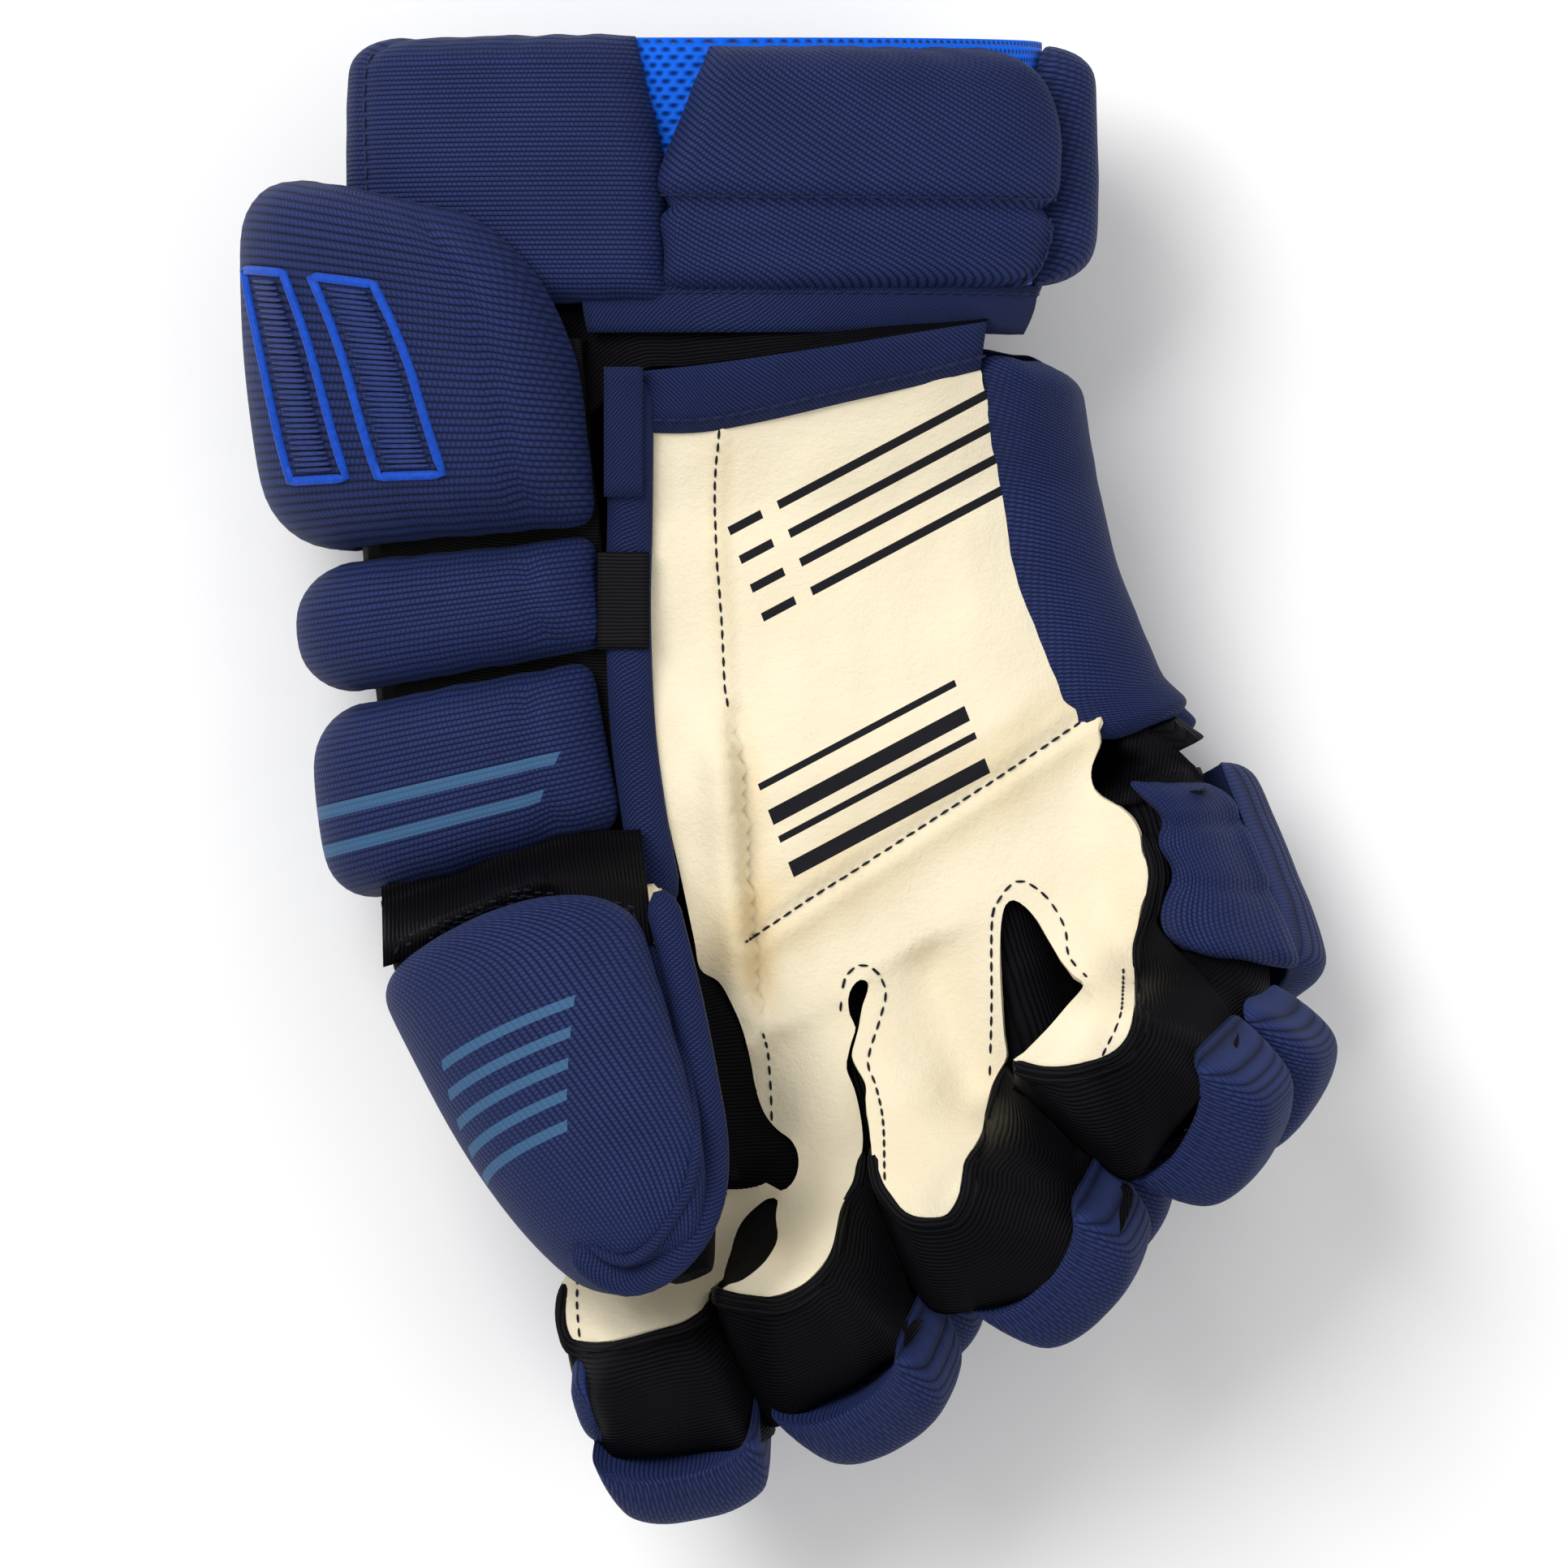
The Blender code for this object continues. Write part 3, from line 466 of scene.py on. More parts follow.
palmBars = (  # plain bars across the palm
    bars(118.0, 172.0, 174.0, 6.6, 1.9, 4.0, 0.12), bars(92.0, 140.0, 226.0, 12.0, 1.5, 2.0, 0.12),
    bars(92.0, 140.0, 232.0, 12.0, 3.4, 2.0, 0.12), bars(106.0, 114.0, 174.0, 6.6, 1.9, 4.0, 0.12))
cloths = {
    "roll": wovenCloth("navyRoll"),
    "stripe": wovenCloth("navyStriped", bars=bars(16.0, 96.0, 9.0, 6.5, 2.2, 2.0, 0.6)),
    "bias": wovenCloth("navyBias", turn=-32.0),
    "cap": wovenCloth("navyCap", turn=80.0, bars=bars(6.0, 30.0, 26.0, 6.0, 2.2, 5.0, -0.35)),
    "finger": wovenCloth("navyFinger", turn=90.0),
    "tape": wovenCloth("navyTape", turn=45.0, pitch=0.7, yarn=0.6, lift=0.85),
    "stretch": stretchCloth("blackStretch"),
    "lining": stretchCloth("blackLining", 0.8, (0.008, 0.008, 0.009)),
    "edge": stretchCloth("blackEdge", 0.7, (0.006, 0.006, 0.007)),
    "web": stretchCloth("blackWeb", 0.9, (0.0045, 0.0045, 0.0055), 0.0),
    "suede": suedeCloth("creamSuede"),
    "palm": suedeCloth("creamPalm", palmBars),
    "mesh": meshCloth(),
    "plate": plateMaterial(),
}
for thread, colour in (("darkThread", (0.006, 0.007, 0.014)), ("navyThread", (0.010, 0.014, 0.050)),
                       ("royalThread", (0.006, 0.060, 0.42)), ("satinThread", (0.020, 0.036, 0.150))):
    cloths[thread] = threadMaterial(thread, colour)
print("materials made")


# mesh helpers
def readVectors(holder, label):
    values = np.zeros(len(holder) * 3, np.float32)
    holder.foreach_get(label, values)
    return values.reshape(-1, 3).astype(float)


def coordinates(mesh):
    return readVectors(mesh.vertices, "co")


def setCoordinates(mesh, spots):
    mesh.vertices.foreach_set("co", np.asarray(spots, np.float32).ravel())
    mesh.update()


def setFlat(mesh, flat):  # where each point lies on the flat cloth
    values = np.zeros((len(flat), 3), np.float32)
    values[:, : np.shape(flat)[1]] = flat
    mesh.attributes.new("flat", "FLOAT_VECTOR", "POINT").data.foreach_set("vector", values.ravel())


def makePiece(name, points, faces, material, flat, fold=None):
    mesh = bpy.data.meshes.new(name)
    mesh.from_pydata([tuple(p) for p in np.asarray(points) * mm], [], [tuple(int(i) for i in f) for f in faces])
    mesh.materials.append(material)
    setFlat(mesh, flat)
    # the "fold" attribute carries the suede's painted shade in its folds
    if fold is not None:
        mesh.attributes.new("fold", "FLOAT", "POINT").data.foreach_set("value", np.asarray(fold, np.float32))
    mesh.shade_smooth()
    piece = newObject(name, mesh)
    faceOut(mesh)
    return piece


def faceOut(mesh):
    spots = coordinates(mesh)
    mesh.calc_loop_triangles()
    corners = np.zeros(len(mesh.loop_triangles) * 3, np.int32)
    mesh.loop_triangles.foreach_get("vertices", corners)
    a, b, c = (spots[corners.reshape(-1, 3)[:, k]] for k in range(3))
    if np.einsum("ij,ij->", a, np.cross(b, c)) < 0:
        mesh.flip_normals()


def applyModifiers(piece):
    graph, old = bpy.context.evaluated_depsgraph_get(), piece.data
    mesh = bpy.data.meshes.new_from_object(piece.evaluated_get(graph), preserve_all_data_layers=True,
                                           depsgraph=graph)
    piece.modifiers.clear()
    piece.data = mesh
    bpy.data.meshes.remove(old)
    mesh.name = piece.name


def treeOf(piece):
    mesh = piece.data
    return BVHTree.FromPolygons([v.co.copy() for v in mesh.vertices], [tuple(p.vertices) for p in mesh.polygons])


def fallOn(tree, x, y, top=250.0):  # what a ray from above meets first, and its normal
    return tree.ray_cast(Vector((x, y, top)), down)[:2]


def travelOf(points):
    return np.concatenate(([0.0], np.cumsum(np.linalg.norm(np.diff(points, axis=0), axis=1))))


def gridFaces(columns, rows, first, flip):
    faces = []
    for i in range(columns - 1):
        for j in range(rows - 1):
            a = first + i * rows + j
            quad = (a, a + rows, a + rows + 1, a + 1)
            faces.append(quad[::-1] if flip else quad)
    return faces


def rimOf(columns, rows):
    low = [i * rows for i in range(columns)]
    end = [(columns - 1) * rows + j for j in range(1, rows)]
    high = [i * rows + rows - 1 for i in range(columns - 2, -1, -1)]
    return low + end + high + list(range(rows - 2, 0, -1))


def rimWalls(columns, rows):
    rim, count = rimOf(columns, rows), columns * rows
    return [(b, a, a + count, b + count) for a, b in zip(rim, rim[1:] + rim[:1])]


def sheetFaces(columns, rows):  # a grid, its underside and the walls between
    below = gridFaces(columns, rows, columns * rows, True)
    return gridFaces(columns, rows, 0, False) + below + rimWalls(columns, rows)


def tubeFaces(first, second, around):  # between two rings of points
    return [(first * around + k, first * around + n, second * around + n, second * around + k)
            for k, n in zip(range(around), [*range(1, around), 0])]


def normalsAt(points, faces, faceNormals):
    normals = np.zeros_like(points)
    for corner in np.asarray(faces).T:
        np.add.at(normals, corner, faceNormals)
    return normals / np.maximum(np.linalg.norm(normals, axis=1, keepdims=True), 1e-9)


# stuffed pads: a sewn-down grid, blown up as cloth, then creased along its seams
pads = {}


# a corner is one radius, or its reach along and across, or those two and a straight cut
def insetAt(distance, corner):
    along, across = corner[:2] if isinstance(corner, tuple) else (corner, corner)
    if distance >= across:
        return 0.0
    if isinstance(corner, tuple) and len(corner) == 3:
        return along * (1 - distance / across)
    return along * (1 - math.sqrt(max(0.0, 1 - (1 - distance / across) ** 2)))


def riseAt(distance, edge):
    return math.sqrt(max(0.0, 1 - (1 - min(distance / edge, 1.0)) ** 2))


padSet = {"rim": (0.0, 0.12, 0.35, 0.66), "mostEdge": 0.42}  # shares of the edge, and of the pad


def spacedOut(size, edge, cell):
    inner = max(size - 2 * edge, 0.1)
    count = max(1, round(inner / cell))
    rim = [edge * s for s in padSet["rim"]]
    return rim + [edge + inner * k / count for k in range(count + 1)] + [size - d for d in rim[::-1]]


# a seam is a line on the flat pad, its width and its depth
def addPad(name, way, place, length, width, thickness, material, corners, edge, crown=0.12, cell=4.0,
           onFloor=False, seams=(), fill=0.75, pucker=0.5, nodes=None):
    edge = min(edge, padSet["mostEdge"] * width, padSet["mostEdge"] * length)

    def spot(along, across, share=1.0):
        start = max(insetAt(across, corners[0]), insetAt(width - across, corners[1]))
        end = max(insetAt(across, corners[2]), insetAt(width - across, corners[3]))
        along = start + (length - start - end) * along / length
        fade = riseAt(min(along - start, length - end - along), edge) * riseAt(min(across, width - across), edge)
        full = thickness(along / length) if callable(thickness) else thickness
        point = place(along, across, share * full * fade * (1 - crown * (2 * across / width - 1) ** 2))
        if onFloor:
            point[2] = max(point[2], 0.0)
        return point

    columns, rows = spacedOut(length, edge, cell), spacedOut(width, edge, cell)
    cells = [(a, c) for a in columns for c in rows]
    points, flat = [spot(*each) for each in cells], [(*each, 1.0) for each in cells]
    border = set(rimOf(len(columns), len(rows)))
    below = list(range(len(cells)))
    for k, each in enumerate(cells):
        if k not in border:
            below[k] = len(points)
            points.append(spot(*each, 0.0))
            flat.append((*each, 0.0))
    top = gridFaces(len(columns), len(rows), 0, False)
    faces = top + [tuple(below[i] for i in face[::-1]) for face in top]
    piece = makePiece(name, points, faces, material, flat)
    held = [k for k in range(len(points)) if k in border or k >= len(cells)]
    piece.vertex_groups.new(name="held").add(held, 1.0, "REPLACE")
    pads[name] = {"piece": piece, "way": way, "spot": spot, "seams": seams, "fill": fill, "length": length,
                  "width": width, "pucker": pucker, "onFloor": onFloor,
                  "nodes": (name,) if nodes is None else nodes}


puffSet = {"frames": 16, "furthest": 2.2, "cloth": {
    "quality": 4, "mass": 0.2, "tension_stiffness": 12.0, "compression_stiffness": 12.0, "shear_stiffness": 6.0,
    "bending_stiffness": 1.2, "use_pressure": True, "uniform_pressure_force": 3.0, "vertex_group_mass": "held"}}


def blowUp():
    scene = bpy.context.scene
    for pad in pads.values():
        cloth = pad["piece"].modifiers.new("puff", "CLOTH")
        for label, value in puffSet["cloth"].items():
            setattr(cloth.settings, label, value)
        cloth.settings.effector_weights.gravity = 0.0
        cloth.collision_settings.use_collision = False
        cloth.point_cache.frame_start, cloth.point_cache.frame_end = 1, puffSet["frames"]
    for number in range(1, puffSet["frames"] + 1):
        scene.frame_set(number)
    graph = bpy.context.evaluated_depsgraph_get()
    for pad in pads.values():
        piece = pad["piece"]
        rest, blown = coordinates(piece.data), coordinates(piece.evaluated_get(graph).data)
        move = blown - rest
        far = np.linalg.norm(move, axis=1, keepdims=True)
        pad["blown"] = rest + move * np.minimum(1.0, puffSet["furthest"] * mm / np.maximum(far, 1e-9))
    for pad in pads.values():
        pad["piece"].modifiers.clear()
        setCoordinates(pad["piece"].data, pad["blown"])
    scene.frame_set(1)


def lineDistance(spots, line):
    best = np.full(len(spots), 1e9)
    for a, b in zip(np.asarray(line[:-1], float), np.asarray(line[1:], float)):
        way = b - a
        share = np.clip(((spots - a) @ way) / max(way @ way, 1e-9), 0, 1)
        best = np.minimum(best, np.linalg.norm(spots - a - share[:, None] * way, axis=1))
    return best


puckerSet = {"fine": 7.0, "coarse": 30.0, "broad": (26.0, 22.0), "reach": 7.0, "share": 0.7,
             "seeds": (3.1, 1.7, 2.3)}


def puckerAt(a, c, number):  # fine ripples along and across, and a broad one
    fine, coarse, (wide, long) = puckerSet["fine"], puckerSet["coarse"], puckerSet["broad"]
    first, second, third = (number * seed for seed in puckerSet["seeds"])
    return (noise((a / fine + number, c / coarse, first)), noise((a / coarse, c / fine + number, second)),
            noise((a / wide, c / long, third)))


def finishPads():
    for number, (name, pad) in enumerate(pads.items()):
        if "tree" in pad:
            continue
        piece = pad["piece"]
        smooth = piece.modifiers.new("smooth", "SUBSURF")
        smooth.levels = smooth.render_levels = 1
        applyModifiers(piece)
        mesh = piece.data
        spots, normals = coordinates(mesh), readVectors(mesh.vertex_normals, "vector")
        flat = readVectors(mesh.attributes["flat"].data, "vector")
        onTop = np.clip(flat[:, 2], 0, 1)
        push = np.zeros(len(spots))
        for line, width, depth in pad["seams"]:
            push -= depth * np.exp(-(lineDistance(flat[:, :2], line) / width) ** 2)
        side = np.minimum(flat[:, 1], pad["width"] - flat[:, 1])
        end = np.minimum(flat[:, 0], pad["length"] - flat[:, 0])
        along, across, broad = np.array([puckerAt(a, c, number) for a, c in flat[:, :2]]).T
        push += pad["pucker"] * (along * np.exp(-side / puckerSet["reach"])
                                 + across * np.exp(-end / puckerSet["reach"]) + puckerSet["share"] * broad)
        spots += normals * (push * onTop)[:, None] * mm
        if pad["onFloor"]:
            spots[:, 2] = np.maximum(spots[:, 2], 0.0)
        setCoordinates(mesh, spots)
        attach(piece, pad["way"])
        if pad["nodes"]:
            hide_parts(*pad["nodes"])
        pad["tree"] = treeOf(piece)


def onPad(name, along, across, lift=0.25):
    pad = pads[name]
    near, normal, face, distance = pad["tree"].find_nearest(Vector(pad["spot"](along, across) * mm))
    return np.array(near) / mm + np.array(normal) * lift


# stitches, one object for each thread and way of riding
sewn = {}
threadSizes = {"darkThread": 0.62, "navyThread": 0.62, "royalThread": 1.25, "satinThread": 1.0}
stitchShare, padStep = 0.8, 2.0  # of the pitch, and along a seam on a pad


def sew(way, points, thread="darkThread", pitch=3.2):
    sewn.setdefault((way, thread, pitch), []).append(np.asarray(points, float))


def sewOnPad(name, line, thread="navyThread", pitch=3.4):
    line = np.asarray(line, float)
    far = travelOf(line)
    steps = np.linspace(0, far[-1], max(2, int(far[-1] / padStep)))
    spots = [onPad(name, np.interp(s, far, line[:, 0]), np.interp(s, far, line[:, 1])) for s in steps]
    sew(pads[name]["way"], spots, thread, pitch)


def stitchTree():
    tree = bpy.data.node_groups.new("stitchRow", "GeometryNodeTree")
    kinds = {"Geometry": "NodeSocketGeometry", "Thread": "NodeSocketMaterial"}
    for label, way in (("Geometry", "INPUT"), ("Pitch", "INPUT"), ("Length", "INPUT"), ("Thickness", "INPUT"),
                       ("Thread", "INPUT"), ("Geometry", "OUTPUT")):
        tree.interface.new_socket(name=label, in_out=way, socket_type=kinds.get(label, "NodeSocketFloat"))
    nodes = {label: tree.nodes.new(kind) for label, kind in (
        ("entry", "NodeGroupInput"), ("leave", "NodeGroupOutput"), ("curve", "GeometryNodeMeshToCurve"),
        ("dots", "GeometryNodeCurveToPoints"), ("ball", "GeometryNodeMeshUVSphere"),
        ("size", "ShaderNodeCombineXYZ"), ("turn", "FunctionNodeAlignRotationToVector"),
        ("place", "GeometryNodeInstanceOnPoints"), ("real", "GeometryNodeRealizeInstances"),
        ("paint", "GeometryNodeSetMaterial"))}
    nodes["dots"].mode, nodes["turn"].axis = "LENGTH", "Z"
    wire(tree, nodes["ball"], {"Segments": 6, "Rings": 5, "Radius": 0.5})
    for source, output, target, label in (
            ("entry", "Geometry", "curve", 0), ("curve", 0, "dots", "Curve"),
            ("entry", "Pitch", "dots", "Length"), ("dots", "Tangent", "turn", "Vector"),
            ("entry", "Thickness", "size", "X"), ("entry", "Thickness", "size", "Y"),
            ("entry", "Length", "size", "Z"),
            ("dots", "Points", "place", "Points"), ("ball", "Mesh", "place", "Instance"),
            ("turn", 0, "place", "Rotation"), ("size", 0, "place", "Scale"), ("place", 0, "real", 0),
            ("real", 0, "paint", "Geometry"), ("entry", "Thread", "paint", "Material"), ("paint", 0, "leave", 0)):
        wire(tree, nodes[target], {label: nodes[source].outputs[output]})
    return tree


def makeStitches():
    tree = stitchTree()
    sockets = {s.name: s.identifier for s in tree.interface.items_tree if s.in_out == "INPUT"}
    for number, ((way, thread, pitch), lines) in enumerate(sewn.items()):
        points, edges = [], []
        for line in lines:
            first = len(points)
            points += list(line)
            edges += [(first + k, first + k + 1) for k in range(len(line) - 1)]
        name = f"stitches_{way}_{number}"
        mesh = bpy.data.meshes.new(name)
        mesh.from_pydata([tuple(p) for p in np.array(points) * mm], edges, [])
        piece = newObject(name, mesh)
        rows = piece.modifiers.new("rows", "NODES")
        rows.node_group = tree
        for label, value in (("Pitch", pitch * mm), ("Length", pitch * stitchShare * mm),
                             ("Thickness", threadSizes[thread] * mm), ("Thread", cloths[thread])):
            rows[sockets[label]] = value
        applyModifiers(piece)
        piece.data.shade_smooth()
        attach(piece, way)
    print("stitches sewn:", len(sewn), "rows of thread")


# thin sheets and tapes
leastSide = 0.0101  # metres


def declareSheet(piece, way, node, slot):
    area = sum(p.area for p in piece.data.polygons) / 2
    size = coordinates(piece.data)
    spread = size - size.mean(0)
    long = np.ptp(spread @ np.linalg.eigh(spread.T @ spread)[1][:, -1])
    wide, long = max(area / long, leastSide), max(long, leastSide)
    attach(piece, way)
    if node:
        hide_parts(*([node] if isinstance(node, str) else node))


def addSheet(name, way, place, counts, heights, material, scale, node=None, slot="black_stretch"):
    columns, rows = ([k / count for k in range(count + 1)] for count in counts)
    spots = [(share, other) for share in columns for other in rows]
    points = [place(*spot, height) for height in heights[::-1] for spot in spots]
    flats = [(share * scale[0], other * scale[1]) for share, other in spots]
    piece = makePiece(name, points, sheetFaces(len(columns), len(rows)), material, flats + flats)
    declareSheet(piece, way, node, slot)
    return piece


tapeSet = {"power": 2.8, "close": 0.35, "closeOver": 2.0, "flat": 2.2}


def addTape(name, way, path, halfWidth, halfHeight, material, node=None, slot="navy_tape", around=14):
    path = np.asarray(path, float)
    points, flats, faces = [], [], []
    travel = travelOf(path)
    for k, spot in enumerate(path):
        ahead = unit(path[min(k + 1, len(path) - 1)] - path[max(k - 1, 0)])
        side = unit(np.cross(ahead, (0.0, 0.0, 1.0)))
        lift = np.cross(side, ahead)
        fromEnd = math.sqrt(min(k, len(path) - 1 - k) / tapeSet["closeOver"])
        close = min(1.0, tapeSet["close"] + (1 - tapeSet["close"]) * fromEnd)
        for n in range(around):
            x, z = rounded(360.0 * n / around, halfWidth * close, halfHeight * close, tapeSet["power"])
            points.append(spot + side * x + lift * z)
            flats.append((travel[k], halfWidth * tapeSet["flat"] * n / around * 2))
    for k in range(len(path) - 1):
        faces += tubeFaces(k, k + 1, around)
    last = (len(path) - 1) * around
    faces += [tuple(range(around - 1, -1, -1)), tuple(range(last, last + around))]
    piece = makePiece(name, points, faces, material, flats)
    attach(piece, way)
    if node:
        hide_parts(node)


def smoothPath(points, step):
    points = np.asarray(points, float)
    ghost = np.vstack((2 * points[0] - points[1], points, 2 * points[-1] - points[-2]))
    fine = []
    for k in range(1, len(ghost) - 2):
        a, b, c, d = ghost[k - 1:k + 3]
        count = max(1, int(round(np.linalg.norm(c - b) / step)))
        for t in np.arange(count) / count:
            fine.append(0.5 * (2 * b + (c - a) * t + (2 * a - 5 * b + 4 * c - d) * t ** 2
                               + (3 * b - a - 3 * c + d) * t ** 3))
    return np.array(fine + [points[-1]])


# the rolls on the back and thumb side of the hand
def onForm(form, firstAngle, lastAngle, firstLine, lastLine, base, samples=97):
    middle = (firstLine + lastLine) / 2
    angles = np.linspace(firstAngle, lastAngle, samples)
    travel = travelOf([form.point(a, middle, base) for a in angles])

    def place(along, across, height):
        return form.point(np.interp(along, travel, angles), firstLine + across, base + height)

    return place, travel[-1], lastLine - firstLine


rollSet = {"gap": 1.4, "edge": 9.0, "ridge": 9.5, "ridgeEnds": 5.0, "ridgeLean": 1.5, "ridgeWidth": 2.0,
           "ridgeDepth": 1.7, "crown": 0.14, "shares": (0.0, 0.3, 0.5, 0.8, 1.0)}
rolls = {  # angles, lines, thickness at the start, on the back and at the end, corners, cloth
    "wrist_roll": ((103, 344), (58.5, 106.0), (19.0, 15.0, 7.0), (4, 26, 6, 6), "roll"),
    "middle_roll": ((103.6, 344), (34.5, 58.5), (13.0, 15.0, 7.0), (4, 4, 6, 6), "roll"),
    "thumb_base_roll": ((106.4, 344), (-0.5, 34.5), (13.0, 15.0, 7.0), (6, 4, 6, 6), "stripe"),
    "knuckle_roll": ((230, 345), (-34.0, -0.5), (13.0, 15.0, 9.0), (8, 6, 8, 6), "roll"),
}


def addRolls():
    for name, (angles, lines, (start, back, end), corners, cloth) in rolls.items():
        low = lines[0] + (0.0 if name == "knuckle_roll" else rollSet["gap"] / 2)
        high = lines[1] - (0.0 if name == "wrist_roll" else rollSet["gap"] / 2)
        place, length, width = onForm(hand, *angles, low, high, fit["padStart"])

        def thickness(share, sizes=(start, start, back, back, end)):
            return np.interp(share, rollSet["shares"], sizes)

        ridge, ends = rollSet["ridge"], rollSet["ridgeEnds"]
        seams = [(((ridge, ends), (ridge + rollSet["ridgeLean"], width - ends)), rollSet["ridgeWidth"],
                  rollSet["ridgeDepth"])]
        addPad(name, "hand", place, length, width, thickness, cloths[cloth], corners, rollSet["edge"],
               rollSet["crown"], onFloor=True, seams=[] if name == "knuckle_roll" else seams)


# the cuff
cuffPads = {
    "cuff_thumb_pad": ((94.6, 186), (102.3, 160.5), (2, (7, 30, "cut"), 6, 5), "roll"),
    "cuff_palm_pad": ((20, 96.8), (104.5, 158.0), (4, (15, 20), 2, (12, 30, "cut")), "bias"),
    "cuff_back_pad": ((188, 338), (100.0, 160.5), (5, 5, 5, 5), "roll"),
    "cuff_pinky_pad": ((338, 380), (107.0, 159.0), (6, 6, 6, 6), "bias"),
}
cuffSeam = {"line": 19.4, "width": 2.0, "depth": 3.4, "side": 15.0}
cuffEdge = 7.0


def addCuff():
    line, back = cuffSeam["line"], cuffSeam["side"]
    for name, (angles, lines, corners, cloth) in cuffPads.items():
        place, length, width = onForm(cuff, *angles, *lines, fit["padStart"])
        seams, nodes = [], None
        if name == "cuff_thumb_pad":
            seams = [(((length - back, 2), (length - back, width - 2)), 1.4, 0.8)]
        if name == "cuff_palm_pad":
            nodes = ("cuff_palm_pad", "cuff_palm_band")
            seams = [(((0, line - 1), (length, line)), cuffSeam["width"], cuffSeam["depth"]),
                     (((0, 9.0), (length, 9.5)), 9.0, 2.2), (((6.0, 1), (6.5, 19)), 1.0, 0.8)]
        addPad(name, "cuff", place, length, width, cuffSet["pad"], cloths[cloth], corners, cuffEdge, seams=seams,
               nodes=nodes)


# the fingers' pads
fingerPads = {"angles": (203, 337), "samples": 65, "tipShares": (0.9, 0.3), "gap": 0.3, "past": 2.4,
              "corners": (4, 4, 4, 4), "edge": 6.0, "cell": 3.2, "pucker": 0.4}


def fingerPlace(form, first, last):
    angles = np.linspace(*fingerPads["angles"], fingerPads["samples"])
    lines = np.linspace(first, last, fingerPads["samples"])
    around = travelOf([form.padPoint(a, first, 0.0) for a in angles])
    travel = travelOf([form.padPoint(270, line, 0.0) for line in lines])

    def place(along, across, height):
        return form.padPoint(np.interp(along, around, angles), np.interp(across, travel, lines), height)

    return place, around[-1], travel[-1]


def addFingerPads():
    for name, form in fingers.items():
        tipLeft = form.length - form.straight - form.arc
        bendShare, tipShare = fingerPads["tipShares"]
        tipStart = form.straight + form.arc * bendShare + tipLeft * tipShare
        half = fingerSet["bendGap"] / 2
        ends = [form.straight + form.arc * (0.5 + share) for share in (-half, half)]
        for part, body, first, last, thickness in (
                ("base_pad", "_base", fingerSet["lap"], ends[0], fingerSet["pad"]),
                ("middle_pad", "_tip", ends[1], tipStart - fingerPads["gap"], fingerSet["tipPad"]),
                ("tip_pad", "_tip", tipStart + fingerPads["gap"], form.length + fingerPads["past"],
                 fingerSet["tipPad"])):
            addPad(f"{name}_{part}", name + body, *fingerPlace(form, first, last), thickness, cloths["finger"],
                   fingerPads["corners"], fingerPads["edge"], cell=fingerPads["cell"],
                   pucker=fingerPads["pucker"])


# thumb cap, the index finger's side and the pinky-side panel: way, place, thickness, cloth, corners, edge
indexForm = fingers["index"]
sidePads = {
    "thumb_cap": ("thumb", (cap, 30, 236, 7.0, thumbSet["length"] - 1.0, fit["padStart"]), thumbSet["cap"],
                  "cap", ((26, 15), (14, 26), 5, 16), 7.0, {"crown": 0.1, "fill": 0.95, "pucker": 0.2}),
    "index_side_pad": ("indexMiddle", (indexForm, 152, 216, 14.0, indexForm.length - 5.0, -0.6), 4.6,
                       "finger", (4, 6, 4, 6), 5.0, {"cell": 3.0, "nodes": ()}),
    "pinky_side_panel": ("hand", (hand, -14.0, 43.0, -20.5, 102.0, 0.4), 7.5, "bias", (10, 8, 10, 8), 8.0, {}),
}


def addThumbAndSide():
    for name, (way, place, thickness, cloth, corners, edge, more) in sidePads.items():
        addPad(name, way, *onForm(*place), thickness, cloths[cloth], corners, edge, **more)


addView()
addRolls()
addCuff()
addFingerPads()
addThumbAndSide()
print("pads laid out:", len(pads))
blowUp()
print("pads blown up")
finishPads()
print("pads finished")

# black finger sleeves, billowed at the tips
sleeveSet = {"around": 48, "step": 2.4, "wall": 1.0, "under": 0.9, "inset": -1.2, "flat": (18.0, 15.0),
             "folds": 0.5, "foldLength": 5.5, "foldTurn": 1.3, "fade": 6.0, "tipRound": 9.0,
             "ends": (0.0, 0.5, 1.3, 2.4, 4.0, 6.0, 8.0), "thumbStart": 4.0, "thumbFolds": 0.3}


def addStall(name, way, form, start, node, fold):
    rings = np.linspace(start, form.length, max(12, int((form.length - start) / sleeveSet["step"])))
    rings = np.unique(np.concatenate((rings, form.length - np.array(sleeveSet["ends"]))))
    angles = np.linspace(-90, 270, sleeveSet["around"], endpoint=False)
    points, flats, faces = [], [], []
    for wall in (0.0, -sleeveSet["wall"]):
        for along in rings if wall == 0 else rings - sleeveSet["under"]:
            left = form.length - along
            for angle in angles:
                x, y = math.cos(math.radians(angle)), math.sin(math.radians(angle))
                turn = sleeveSet["foldTurn"]
                ripple = fold * noise((along / sleeveSet["foldLength"], x * turn, y * turn + len(name)))
                height = sleeveSet["inset"] + wall + ripple * min(1.0, left / sleeveSet["fade"])
                points.append(form.point(angle, max(along, start), height))
                wide, high = sleeveSet["flat"]
                flats.append((along + wide * x, high * tipTaper(left, sleeveSet["tipRound"]) * y))
    count, around = len(rings), len(angles)
    for ring in range(count - 1):
        faces += tubeFaces(ring, ring + 1, around) + tubeFaces(count + ring + 1, count + ring, around)
    faces += tubeFaces(count, 0, around)
    faces.append(tuple(range((count - 1) * around, count * around)))
    faces.append(tuple(range((2 * count - 1) * around + around - 1, (2 * count - 1) * around - 1, -1)))
    piece = makePiece(name, points, faces, cloths["stretch"], flats)
    declareSheet(piece, way, node, "black_stretch")


